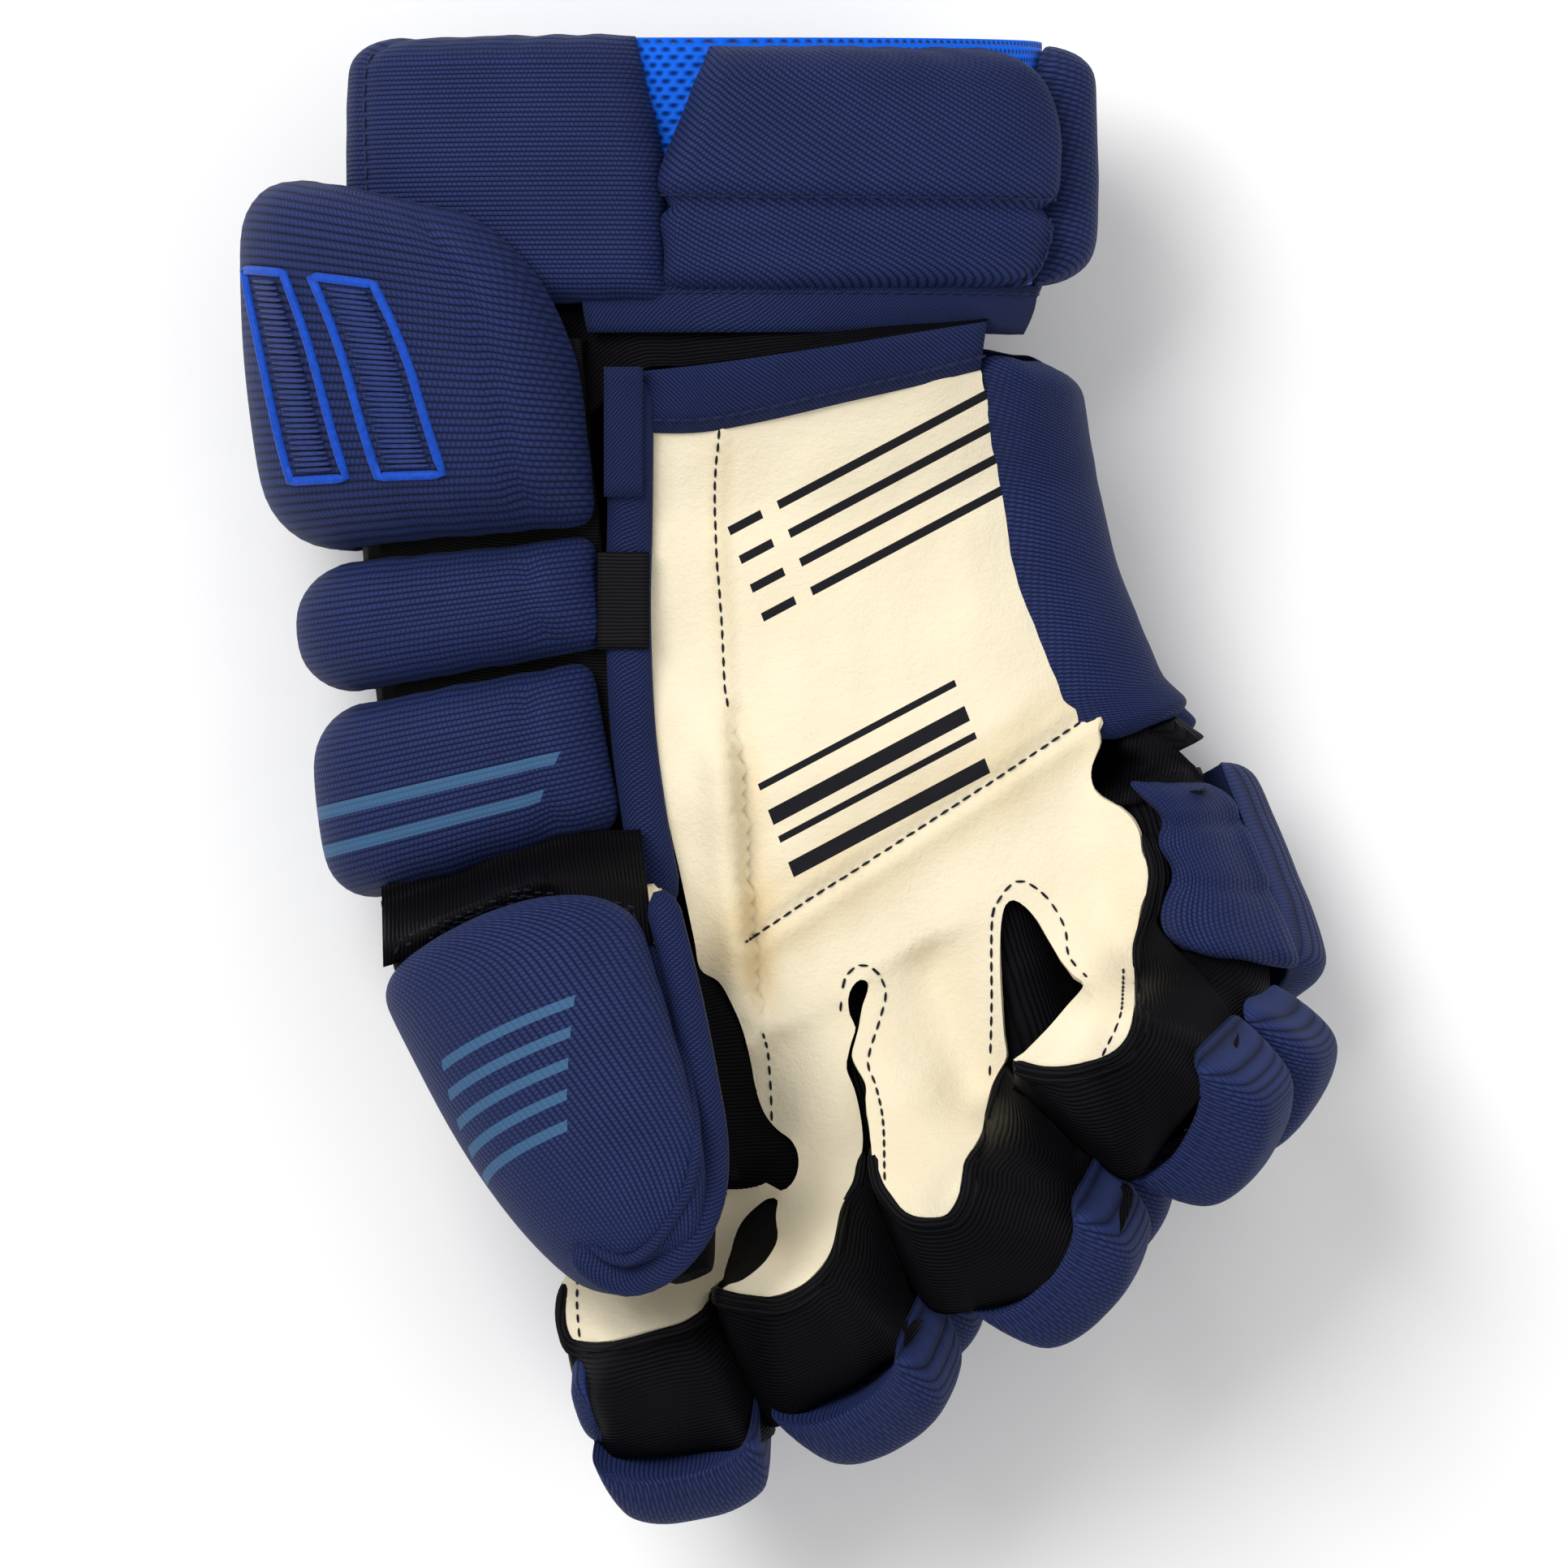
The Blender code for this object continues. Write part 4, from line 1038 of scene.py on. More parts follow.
for name, form in fingers.items():
    addStall(f"{name}_sleeve_cloth", name + "Middle", form, fingerSet["start"], name + "_sleeve",
             sleeveSet["folds"])
addStall("thumb_sleeve_cloth", "thumb", cap, sleeveSet["thumbStart"], "thumb_sleeve", sleeveSet["thumbFolds"])
print("sleeves made")

# the suede palm, cut as the photograph shows and laid on the hand and fingers
palmCut = {
    "heel": [(800, 530), (842, 530), (885, 527), (960, 511), (1040, 492), (1120, 474), (1200, 452)],
    "pinkySide": [(1212, 478), (1230, 525), (1250, 580), (1272, 640), (1293, 700), (1313, 755), (1333, 805),
                  (1350, 845), (1363, 866)],
    "littleOuter": [(1358, 880), (1353, 897), (1355, 916), (1348, 936), (1344, 952), (1348, 972), (1361, 985),
                    (1378, 994), (1394, 1008), (1404, 1028), (1407, 1050), (1415, 1066), (1420, 1080),
                    (1414, 1097), (1406, 1116), (1402, 1139), (1397, 1164), (1397, 1188), (1398, 1212),
                    (1397, 1238)],
    "littleEnd": [(1394, 1260), (1386, 1281), (1373, 1295), (1350, 1306), (1322, 1314), (1288, 1316),
                  (1262, 1311), (1249, 1306)],
    "littleFork": [(1262, 1297), (1290, 1268), (1314, 1240), (1335, 1214), (1322, 1201), (1307, 1183),
                   (1292, 1158), (1278, 1134), (1263, 1117), (1249, 1109), (1239, 1115), (1234, 1134),
                   (1232, 1164), (1232, 1198), (1234, 1236), (1237, 1275), (1240, 1302)],
    "ringOuter": [(1230, 1321), (1222, 1338), (1217, 1357), (1213, 1377), (1209, 1396), (1198, 1416),
                  (1188, 1435), (1184, 1454), (1181, 1474)],
    "ringEnd": [(1174, 1490), (1160, 1500), (1138, 1503), (1118, 1498), (1103, 1488), (1091, 1471),
                (1080, 1454)],
    "ringInner": [(1075, 1430), (1073, 1406), (1070, 1382), (1067, 1357), (1067, 1338), (1062, 1326),
                  (1054, 1312), (1050, 1300), (1053, 1285), (1058, 1267)],
    "ringFork": [(1060, 1255), (1063, 1239), (1069, 1222), (1070, 1211), (1060, 1207), (1050, 1216),
                 (1045, 1231), (1047, 1251)],
    "middleOuter": [(1054, 1266), (1049, 1284), (1045, 1300), (1043, 1317), (1053, 1343), (1060, 1374),
                    (1063, 1404), (1060, 1430), (1054, 1450), (1045, 1470), (1035, 1491), (1030, 1516),
                    (1025, 1537)],
    "middleEnd": [(1014, 1557), (992, 1580), (966, 1593), (936, 1599), (910, 1596), (890, 1591)],
    "middleFork": [(898, 1583), (915, 1577), (935, 1562), (948, 1547), (958, 1526), (956, 1497), (958, 1479),
                   (946, 1477), (925, 1493), (912, 1509), (905, 1527), (902, 1552), (896, 1572)],
    "indexEnd": [(882, 1582), (874, 1594), (872, 1606), (860, 1617), (843, 1626), (808, 1636), (772, 1646),
                 (741, 1653), (708, 1652), (696, 1643), (690, 1623), (690, 1594), (699, 1568)],
    "underThumb": [(716, 1548), (760, 1520), (820, 1490), (870, 1472)],
    "thumbHole": [(896, 1461), (912, 1454), (928, 1452), (945, 1458), (962, 1467), (975, 1459), (983, 1442),
                  (983, 1421), (974, 1404), (957, 1391), (941, 1370), (930, 1337), (924, 1303), (915, 1269),
                  (903, 1240), (886, 1210), (863, 1194)],
    "thumbSide": [(855, 1156), (838, 1076), (821, 1000), (812, 940), (805, 870), (801, 800), (800, 700),
                  (800, 610)],
}
palmLines = {
    "cell": 11.0, "rowShare": 0.87, "edgeShare": 0.45, "edgeStep": 7.0, "join": 1e-4, "spreads": 400,
    "lift": 1.1, "split": 3.0, "turnPast": 0.5, "hingeDrop": 38, "roots": (1256, 1060),
    "forkRow": ((690, 1470), (952, 1478), (1058, 1207), (1249, 1109), (1430, 1079)),
    "hingeRow": ((600, 1416), (1500, 943)),
    "seam": ((920, 1160), (1000, 1106), (1080, 1055), (1160, 1003), (1240, 951), (1310, 904), (1352, 876)),
    "sideSeam": ((889, 530), (884, 600), (886, 680), (892, 760), (896, 840), (898, 868)),
    "web": ((898, 868), (908, 930), (914, 1000), (917, 1060), (925, 1150), (932, 1230)),
}
palmEnds = {"index": (780, 1600), "middle": (980, 1540), "ring": (1130, 1450), "little": (1350, 1270)}


def insideOutline(spots, outline):
    inside = np.zeros(len(spots), bool)
    x, y = spots[:, 0], spots[:, 1]
    for (ax, ay), (bx, by) in zip(outline, np.roll(outline, -1, axis=0)):
        crosses = (ay > y) != (by > y)
        inside ^= crosses & (x < (bx - ax) * (y - ay) / (by - ay + 1e-12) + ax)
    return inside


formEnds = np.array((10, 8, 6, 4.5, 3, 1.8, 0.9, 0.3, 0.0))


def formTree(form, start, end, step=2.5, around=72):
    rings = np.concatenate((np.arange(start, end - formEnds[0], step), end - formEnds))
    angles = np.linspace(0, 360, around, endpoint=False)
    points = [Vector(form.point(a, s, 0.0)) for s in rings for a in angles]
    faces = [face for ring in range(len(rings) - 1) for face in tubeFaces(ring, ring + 1, around)]
    faces.append(tuple(range((len(rings) - 1) * around, len(rings) * around)))
    return BVHTree.FromPolygons(points, faces)


def layPalm():
    outline = np.vstack([np.array(part, float) for part in palmCut.values()])
    outline = smoothPath(np.vstack((outline, outline[:1])), palmLines["edgeStep"])[:-1]
    low, high, cell = outline.min(0), outline.max(0), palmLines["cell"]
    grid = []
    for row, v in enumerate(np.arange(low[1], high[1], cell * palmLines["rowShare"])):
        grid += [(u + (row % 2) * cell / 2, v) for u in np.arange(low[0], high[0], cell)]
    grid = np.array(grid)
    grid = grid[insideOutline(grid, outline)]
    near = lineDistance(grid, np.vstack((outline, outline[:1])))
    grid = grid[near > cell * palmLines["edgeShare"]]
    count = len(outline)
    edges = [(k, (k + 1) % count) for k in range(count)]
    both = [Vector(p) for p in np.vstack((outline, grid))]
    spots, _, triangles, *_ = delaunay_2d_cdt(both, edges, [], 0, palmLines["join"])
    flat, triangles = np.array([tuple(p) for p in spots]), np.array(triangles)
    return flat, triangles[insideOutline(flat[triangles].mean(1), outline)]


def neighbours(triangles, count):
    pairs = np.concatenate((triangles[:, (0, 1)], triangles[:, (1, 2)], triangles[:, (2, 0)]))
    pairs = np.unique(np.sort(pairs, axis=1), axis=0)
    pairs = np.concatenate((pairs, pairs[:, ::-1]))
    return pairs, np.bincount(pairs[:, 0], minlength=count)


def owners(flat, pairs):  # which finger each point below the forks belongs to
    below = flat[:, 1] > np.interp(flat[:, 0], *np.array(palmLines["forkRow"], float).T)
    owner = np.where(below, np.arange(len(flat)), -1)
    links = pairs[below[pairs[:, 0]] & below[pairs[:, 1]]]
    for _ in range(palmLines["spreads"]):
        spread = owner.copy()
        np.maximum.at(spread, links[:, 0], owner[links[:, 1]])
        if (spread == owner).all():
            break
        owner = spread
    found = np.full(len(flat), "", object)
    for name, spot in palmEnds.items():
        found[owner == owner[np.linalg.norm(flat - np.array(spot), axis=1).argmin()]] = name
    return found


laySet = {"height": 60.0, "above": 200.0, "least": -99.0, "steep": 0.22, "past": 14.0, "turns": 900,
          "pullEvery": 60, "pull": 0.25, "evenings": 8, "even": 0.45}


def palmHeights(flat, triangles):
    pairs, counts = neighbours(triangles, len(flat))
    owner = owners(flat, pairs)
    handTree = formTree(hand, handSet["lines"][0] - laySet["past"], handSet["lines"][4])
    trees = {name: formTree(form, -laySet["past"], form.length) for name, form in fingers.items()}
    heights, least = (np.full(len(flat), laySet[key]) for key in ("height", "least"))
    known = np.zeros(len(flat), bool)
    for k, (u, v) in enumerate(flat):
        z = laySet["height"]
        for _ in range(3):
            x, y, _z = fromPhoto(u, v, z)
            hits = []
            for tree in ([trees[owner[k]]] if owner[k] else [handTree, *trees.values()]):
                spot, normal = fallOn(tree, x, y, laySet["above"])
                if spot is not None:
                    hits.append((spot.z, abs(normal.z) > laySet["steep"]))
            if not hits:
                break
            z, clear = max(hits)
        else:
            heights[k], known[k], least[k] = z, clear, z
    print("palm points:", len(flat), "lying free:", int((~known).sum()))
    heights[~known] = heights[known].mean()

    def mean():
        return np.bincount(pairs[:, 0], heights[pairs[:, 1]], len(flat)) / counts

    for turn in range(laySet["turns"]):  # free edges carry on the slope of what is held
        level = mean()
        heights[~known] = np.maximum(level, least)[~known]
        if turn % laySet["pullEvery"] == 0:
            heights[known] += laySet["pull"] * (level - heights)[known]
    for _ in range(laySet["evenings"]):
        heights = np.maximum(heights + laySet["even"] * (mean() - heights), least)
    return heights, owner


webRows = {"first": 860, "last": 1300, "ease": 90.0}
palmFolds = {  # height, or depth of shade, of each fold, its width and how far off the line it stands
    "seam": (-0.9, 1.2, 0.0), "seamBank": (0.7, 1.4, 3.2), "side": (1.3, 1.3, 0.0), "webBank": (5.0, 4.5, 4.0),
    "webDip": (-2.6, 4.0, 0.0), "webShade": (0.5, 5.0, 0.0), "seamShade": (0.35, 4.0, 5.0),
    "sideShade": (0.3, 2.5, 0.0), "broad": (120.0, 150.0, 1.4), "fine": (42.0, 60.0, 0.45), "mottle": 0.10}


def foldAt(key, distance):
    size, width, middle = palmFolds[key]
    return size * np.exp(-((distance - middle) / width) ** 2)


def waveAt(key, u, v, seed):
    across, along, size = palmFolds[key]
    return noise((u / across, v / along, seed)) * size


def shapePalm(flat, heights):
    lines = [np.array(palmLines[key], float) for key in ("seam", "sideSeam", "web")]
    toSeam, toSide, toWeb = (lineDistance(flat, line) * viewSet["pixel"] for line in lines)
    web, v = lines[2], flat[:, 1]
    leftOfWeb = flat[:, 0] < np.interp(v, web[:, 1], web[:, 0])
    inWeb = (v > webRows["first"]) & (v < webRows["last"])
    ease = np.clip(np.minimum(v - webRows["first"], webRows["last"] - v) / webRows["ease"], 0, 1)
    heights = heights + foldAt("seam", toSeam) + foldAt("seamBank", toSeam) + foldAt("side", toSide)
    heights += np.where(inWeb & leftOfWeb, foldAt("webBank", toWeb), 0.0) * ease
    heights += np.where(inWeb & ~leftOfWeb, foldAt("webDip", toWeb), 0.0) * ease
    # painted shade: the suede's colour is deepened along the web, the seam and the side seam, where shade falls,
    # and the waves add random mottle
    fold = np.where(inWeb, foldAt("webShade", toWeb), 0.0) * ease
    fold += foldAt("seamShade", toSeam) + foldAt("sideShade", toSide)
    waves = np.array([waveAt("broad", *spot, 3.0) + waveAt("fine", *spot, 8.0) for spot in flat])
    return heights + waves, np.clip(fold + palmFolds["mottle"] * waves, 0, 1)


def partOf(middle, near):
    u, v = middle
    named = [name for name in near if name]
    most = max(set(named), key=named.count) if named else None
    if most == "index":
        return "index"
    if v < np.interp(u, *np.array(palmLines["hingeRow"], float).T) + palmLines["hingeDrop"]:
        return "palm"
    little, ring = palmLines["roots"]
    return most or ("little" if u > little else "ring" if u > ring else "middle")


def wayOf(part, spot):  # how the suede of one part rides at a spot
    if part == "palm":
        return "hand"
    form = fingers[part]
    far = np.dot(spot - form.knuckle, form.baseAxis)
    return part + ("Middle" if part == "index" or far > form.straight - palmLines["split"] else "Knuckle")


def cutSuede(name, way, top, normals, faces, flat, fold, node, material):
    used, inner = np.unique(faces, return_inverse=True)
    count = len(used)
    inner = [tuple(int(i) for i in face) for face in inner.reshape(-1, 3)]
    directed = dict.fromkeys(edge for a, b, c in inner for edge in ((a, b), (b, c), (c, a)))
    walls = [(b, a, a + count, b + count) for a, b in directed if (b, a) not in directed]
    allFaces = inner + [tuple(i + count for i in face[::-1]) for face in inner] + walls
    points = np.vstack((top[used], top[used] - normals[used] * fit["suede"]))
    flats = np.vstack((flat[used], flat[used])) * viewSet["pixel"]
    piece = makePiece(name, points, allFaces, material, flats, np.concatenate((fold[used], fold[used])))
    smooth = np.vstack((normals[used], -normals[used]))
    piece.data.normals_split_custom_set([
        tuple(polygon.normal if len(polygon.vertices) == 4 else smooth[k])  # a wall keeps its own
        for polygon in piece.data.polygons for k in polygon.vertices])
    declareSheet(piece, way, node, "cream_suede")


palm = {}


def addPalm():
    flat, triangles = layPalm()
    heights, owner = palmHeights(flat, triangles)
    heights, fold = shapePalm(flat, heights)
    heights += palmLines["lift"] + fit["suede"]
    top = np.array([fromPhoto(u, v, z) for (u, v), z in zip(flat, heights)])
    a, b, c = (top[triangles[:, k]] for k in range(3))
    faceNormals = np.cross(b - a, c - a)
    turn = faceNormals[:, 2] < 0
    triangles[turn] = triangles[turn][:, ::-1]
    faceNormals[turn] *= -1
    normals = normalsAt(top, triangles, faceNormals)
    ways, partAt = {}, {}
    for face in triangles:
        part = partOf(flat[face].mean(0), owner[face])
        ways.setdefault(wayOf(part, top[face].mean(0)), []).append(face)
        partAt.update((int(k), part) for k in face)
    for name in ("middle", "ring", "little"):  # a finger's suede gets a reach starting where it leaves the palm's, which the bake ignores
        form = fingers[name]
        shared = np.intersect1d(np.array(ways["hand"]), np.array(ways[name + "Knuckle"]))
        start = ((top[shared] - form.knuckle) @ form.baseAxis).max() + palmLines["turnPast"]
        bendings[name + "Knuckle"] = ("hand", name + "_base", form.knuckle + form.baseAxis * start,
                                      form.knuckle + form.baseAxis * (form.straight - palmLines["split"]))
    for way, faces in ways.items():
        name, node, cloth = "suede_" + way, None, cloths["suede"]
        if way == "hand":
            name, node, cloth = "palm_suede", ["palm", "thumb_palm_strip"], cloths["palm"]
        elif way.endswith("Middle"):
            node = way[:-6] + "_palm_strip"
        cutSuede(name, way, top, normals, np.array(faces), flat, fold, node, cloth)
    palm.update(partAt=partAt, flat=flat, top=top, tree=BVHTree.FromPolygons(
        [Vector(p) for p in top], [tuple(int(i) for i in t) for t in triangles]))


def nearPalm(u, v):
    return int(np.linalg.norm(palm["flat"] - np.array((u, v)), axis=1).argmin())


def onPalm(u, v, lift=0.3):
    spot = fromPhoto(u, v, palm["top"][nearPalm(u, v)][2])
    for _ in range(3):
        hit, normal = fallOn(palm["tree"], spot[0], spot[1])
        if hit is None:
            return spot + np.array((0, 0, lift))
        spot = fromPhoto(u, v, hit.z)
    return np.array(hit) + np.array(normal) * (lift if normal.z > 0 else -lift)


addPalm()
print("palm laid")

# soft pieces that copy a node's place: lining, gussets and the thumb's flex band
softCopies = {  # way, cloth, swell, ripple, turn of the ribs
    "hand_liner": ("hand", "lining", 0.2, 0.3, 0.0),
    "little_gusset": ("hand", "stretch", 0.5, 0.5, -35.0),
    "thumb_palm": ("thumb", "suede", 0.2, 0.3, 0.0),
    "thumb_flex_band": ("thumbWeb", "stretch", 0.9, 0.7, 12.0),
}
softSet = {"digits": 6, "merge": 1.0, "cuts": 3, "evenings": 4, "even": 0.5, "waves": (55.0, 140.0),
           "fineShare": 0.6, "swellShare": 0.4}


def addSoftCopy(node, way, cloth, swell, ripple, turn):
    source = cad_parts[node].data
    mesh = bpy.data.meshes.new(node + "_cloth")
    keys, index = np.unique(np.round(coordinates(source), softSet["digits"]), axis=0,
                            return_inverse=True)
    faces = [tuple(dict.fromkeys(int(index[k]) for k in p.vertices)) for p in source.polygons]
    mesh.from_pydata([tuple(p) for p in keys], [], [f for f in faces if len(f) > 2])
    mesh.materials.append(cloths[cloth])
    piece = newObject(node + "_cloth", mesh)
    merge = piece.modifiers.new("merge", "DECIMATE")
    merge.decimate_type = "DISSOLVE"
    merge.angle_limit = math.radians(softSet["merge"])
    cut = piece.modifiers.new("cut", "SUBSURF")
    cut.subdivision_type = "SIMPLE"
    cut.levels = cut.render_levels = softSet["cuts"]
    soften = piece.modifiers.new("soften", "SMOOTH")
    soften.iterations, soften.factor = softSet["evenings"], softSet["even"]
    applyModifiers(piece)
    mesh = piece.data
    spots, normals = coordinates(mesh), readVectors(mesh.vertex_normals, "vector")
    broad, fine = softSet["waves"]
    waves = np.array([noise(tuple(p * broad)) + softSet["fineShare"] * noise(tuple(p * fine)) for p in spots])
    spots += normals * (swell * softSet["swellShare"] + ripple * waves)[:, None] * mm
    setCoordinates(mesh, spots)
    x, y, z = spots.T
    along, across = math.cos(math.radians(turn)), math.sin(math.radians(turn))
    setFlat(mesh, np.array(((x * along + y * across) / mm, (y * along - x * across) / mm + z / mm)).T)
    mesh.shade_smooth()
    declareSheet(piece, way, node, "cream_suede" if cloth == "suede" else "black_stretch")


for node, values in softCopies.items():
    addSoftCopy(node, *values)
print("linings and gussets made")

# black ribbed bands between the suede's finger edges and the navy pads: an edge of the suede and one of the
# navy, both in the photograph, and the least height there
bandPairs = {
    "index": (((880, 1584), (896, 1612), 52), ((874, 1597), (925, 1722), 54), ((866, 1614), (956, 1761), 58),
              ((843, 1626), (925, 1783), 62), ((808, 1636), (870, 1790), 64), ((772, 1646), (815, 1795), 64),
              ((741, 1653), (765, 1797), 62), ((708, 1652), (738, 1787), 58), ((695, 1642), (722, 1745), 54),
              ((690, 1610), (704, 1690), 52), ((697, 1573), (692, 1620), 50)),
    "middle": (((1062, 1415), (1078, 1478), 58), ((1054, 1450), (1098, 1530), 62),
               ((1040, 1480), (1125, 1590), 66), ((1030, 1516), (1140, 1622), 68),
               ((1022, 1543), (1112, 1663), 70), ((1005, 1567), (1070, 1696), 70),
               ((980, 1587), (1020, 1726), 68), ((950, 1597), (975, 1752), 66), ((920, 1597), (945, 1757), 62),
               ((896, 1592), (912, 1722), 58), ((885, 1589), (890, 1665), 56), ((881, 1585), (881, 1615), 56)),
    "ring": (((1236, 1311), (1250, 1338), 62), ((1222, 1338), (1290, 1377), 64),
             ((1213, 1377), (1335, 1417), 66), ((1206, 1402), (1380, 1454), 68),
             ((1190, 1432), (1397, 1472), 72), ((1183, 1460), (1378, 1524), 78),
             ((1178, 1484), (1345, 1564), 80), ((1160, 1500), (1290, 1590), 80),
             ((1135, 1503), (1225, 1608), 78), ((1110, 1494), (1165, 1620), 74),
             ((1091, 1471), (1135, 1602), 70), ((1078, 1447), (1108, 1550), 66),
             ((1073, 1406), (1080, 1480), 62)),
    "little": (((1404, 1028), (1424, 1030), 52), ((1416, 1067), (1440, 1075), 52),
               ((1412, 1100), (1430, 1110), 54), ((1402, 1139), (1426, 1137), 56),
               ((1397, 1164), (1442, 1162), 60), ((1397, 1190), (1484, 1203), 66),
               ((1398, 1215), (1522, 1263), 74), ((1396, 1245), (1522, 1297), 80),
               ((1390, 1272), (1488, 1342), 84), ((1372, 1295), (1441, 1400), 82),
               ((1345, 1308), (1403, 1450), 78), ((1315, 1315), (1380, 1453), 74),
               ((1285, 1316), (1335, 1419), 70), ((1262, 1311), (1290, 1376), 66),
               ((1248, 1305), (1250, 1336), 64)),
}
bandSet = {"rows": 14, "step": 3.3, "bulge": 3.6, "bulgeShare": 0.16, "bulgePower": 0.8, "lean": 0.2,
           "folds": 0.9, "foldLength": 9.0, "foldAcross": 1.2, "foldReach": 40.0, "bothEdges": 1.4, "wall": 0.9,
           "edgeDrop": -0.9, "sink": 0.4, "fade": 4.0, "clear": 0.7, "evenings": 4,
           "roll": (1.25, 1.125), "strands": ((0.9, 0.8), (2.6, 0.1))}  # a strand stands outward and up


def topOf(u, v, trees, fallback):
    z = fallback
    for _ in range(3):
        x, y, _z = fromPhoto(u, v, z)
        hits = [fallOn(tree, x * mm, y * mm, 0.3)[0] for tree in trees]
        hits = [hit.z / mm for hit in hits if hit is not None]
        if not hits:
            return fallback
        z = max(hits)
    return z


def fourMean(wide):  # the mean of the four neighbours
    return (wide[2:, 1:-1] + wide[:-2, 1:-1] + wide[1:-1, 2:] + wide[1:-1, :-2]) / 4


def addBand(name, pairs):
    trees = [pads[f"{name}_{part}"]["tree"] for part in ("middle_pad", "tip_pad")]
    upper = np.array([onPalm(*edge, lift=bandSet["edgeDrop"]) for edge, far, z in pairs])
    lower = np.array([fromPhoto(*far, max(z, topOf(*far, trees, 0.0) - bandSet["sink"]))
                      for edge, far, z in pairs])
    both = smoothPath(np.hstack((upper, lower)), bandSet["step"])
    columns, rows = len(both), bandSet["rows"]
    points, flats, travel = [], [], 0.0
    for k, ends in enumerate(both):
        near, far = ends[:3], ends[3:]
        if k:
            travel += np.linalg.norm(ends - both[k - 1]) / bandSet["bothEdges"]
        reach = np.linalg.norm(far - near)
        out = unit(unit(far - near) * np.array((1, 1, bandSet["lean"])) + np.array((0, 0, 1.0)))
        close = min(1.0, min(k, columns - 1 - k) / bandSet["fade"])
        for s in np.linspace(0, 1, rows):
            swell = min(bandSet["bulge"], reach * bandSet["bulgeShare"])
            swell *= math.sin(math.pi * s ** bandSet["bulgePower"]) * close
            wave = noise((travel / bandSet["foldLength"], s * bandSet["foldAcross"] + len(name) * 3,
                          reach / bandSet["foldReach"]))
            wave *= bandSet["folds"] * math.sin(math.pi * s) * close
            points.append(near + (far - near) * s + out * (swell + wave))
            flats.append((travel, s * reach))
    points = np.array(points)
    count = len(points)
    cover = formTree(fingers[name], 0.0, fingers[name].length)
    for spot in points:
        hit, normal = fallOn(cover, spot[0], spot[1])
        if hit is not None:
            spot[2] = max(spot[2], hit.z + bandSet["clear"])
    drape = points[:, 2].reshape(columns, rows)
    for _ in range(bandSet["evenings"]):
        drape[1:-1, 1:-1] += 0.5 * (fourMean(drape) - drape[1:-1, 1:-1])
    points[:, 2] = drape.ravel()
    faces = gridFaces(columns, rows, 0, False)
    a, b, c = (points[[f[k] for f in faces]] for k in range(3))
    normal = np.cross(b - a, c - a)
    if normal[:, 2].mean() < 0:
        faces, normal = [f[::-1] for f in faces], -normal
    under = points - normalsAt(points, faces, normal) * bandSet["wall"]
    faces += [tuple(i + count for i in f[::-1]) for f in faces] + rimWalls(columns, rows)
    piece = makePiece(name + "_band", np.vstack((points, under)), faces, cloths["stretch"], flats + flats)
    declareSheet(piece, name + "Middle", None, "black_stretch")
    level = np.array((1, 1, 0.0))
    for strand, (outward, rise) in enumerate(bandSet["strands"]):
        lift = np.array((0, 0, rise))
        path = [e[:3] + unit((e[3:] - e[:3]) * level) * outward + lift for e in both]
        addTape(f"{name}_edge_roll_{strand}", name + "Middle", path, *bandSet["roll"], cloths["edge"],
                slot="black_stretch", around=10)


for name, pairs in bandPairs.items():
    addBand(name, pairs)
print("finger bands made")


# cloth laid over what lies below it, between two lines of the photograph
laidSet = {"step": 6.0, "turns": 200, "formHeight": 50.0, "suedeHeight": 60.0, "none": -1.0, "open": 999.0}


def laidOver(inner, outer, trees, forms=(), count=26, taut=14, drop=None):
    lines = [smoothPath(np.array(line, float), laidSet["step"]) for line in (inner, outer)]

    def pixel(share, other):
        near, far = (np.array([np.interp(other, np.linspace(0, 1, len(c)), c[:, k]) for k in (0, 1)])
                     for c in lines)
        return near + (far - near) * share

    heights, roof = (np.full((count, count), laidSet[key]) for key in ("none", "open"))
    for i, j in np.ndindex(count, count):
        u, v = pixel(i / (count - 1), j / (count - 1))
        heights[i, j] = topOf(u, v, trees, laidSet["none"])
        for form in forms:
            hit, normal = fallOn(form, *fromPhoto(u, v, laidSet["formHeight"])[:2])
            heights[i, j] = max(heights[i, j], laidSet["none"] if hit is None else hit.z)
        if drop is not None:  # where the suede lies above, the cloth stays below it
            hit, normal = fallOn(palm["tree"], *fromPhoto(u, v, laidSet["suedeHeight"])[:2])
            roof[i, j] = laidSet["open"] if hit is None else hit.z - drop
    seen = heights > 0
    heights[~seen] = heights[seen].min()
    if drop is not None:
        roof[-1] = [onPalm(*pixel(1.0, j / (count - 1)), 0.0)[2] - drop for j in range(count)]
        seen[-1], heights[-1] = True, roof[-1]
    for turn in range(laidSet["turns"]):
        mean = fourMean(np.pad(heights, 1, mode="edge"))
        heights[~seen] = mean[~seen]
        if turn < taut:
            heights[seen] = np.maximum(heights, mean)[seen]
        heights = np.minimum(heights, roof)

    def place(share, other, height):
        i, j = share * (count - 1), other * (count - 1)
        a, b = min(int(i), count - 2), min(int(j), count - 2)
        f, g = i - a, j - b
        z = (heights[a, b] * (1 - f) * (1 - g) + heights[a + 1, b] * f * (1 - g) + heights[a, b + 1] * (1 - f) * g
             + heights[a + 1, b + 1] * f * g)
        return fromPhoto(*pixel(share, other), z + height)

    return place


def treesOf(*names):
    return [treeOf(bpy.data.objects[name + "_cloth"]) for name in names]


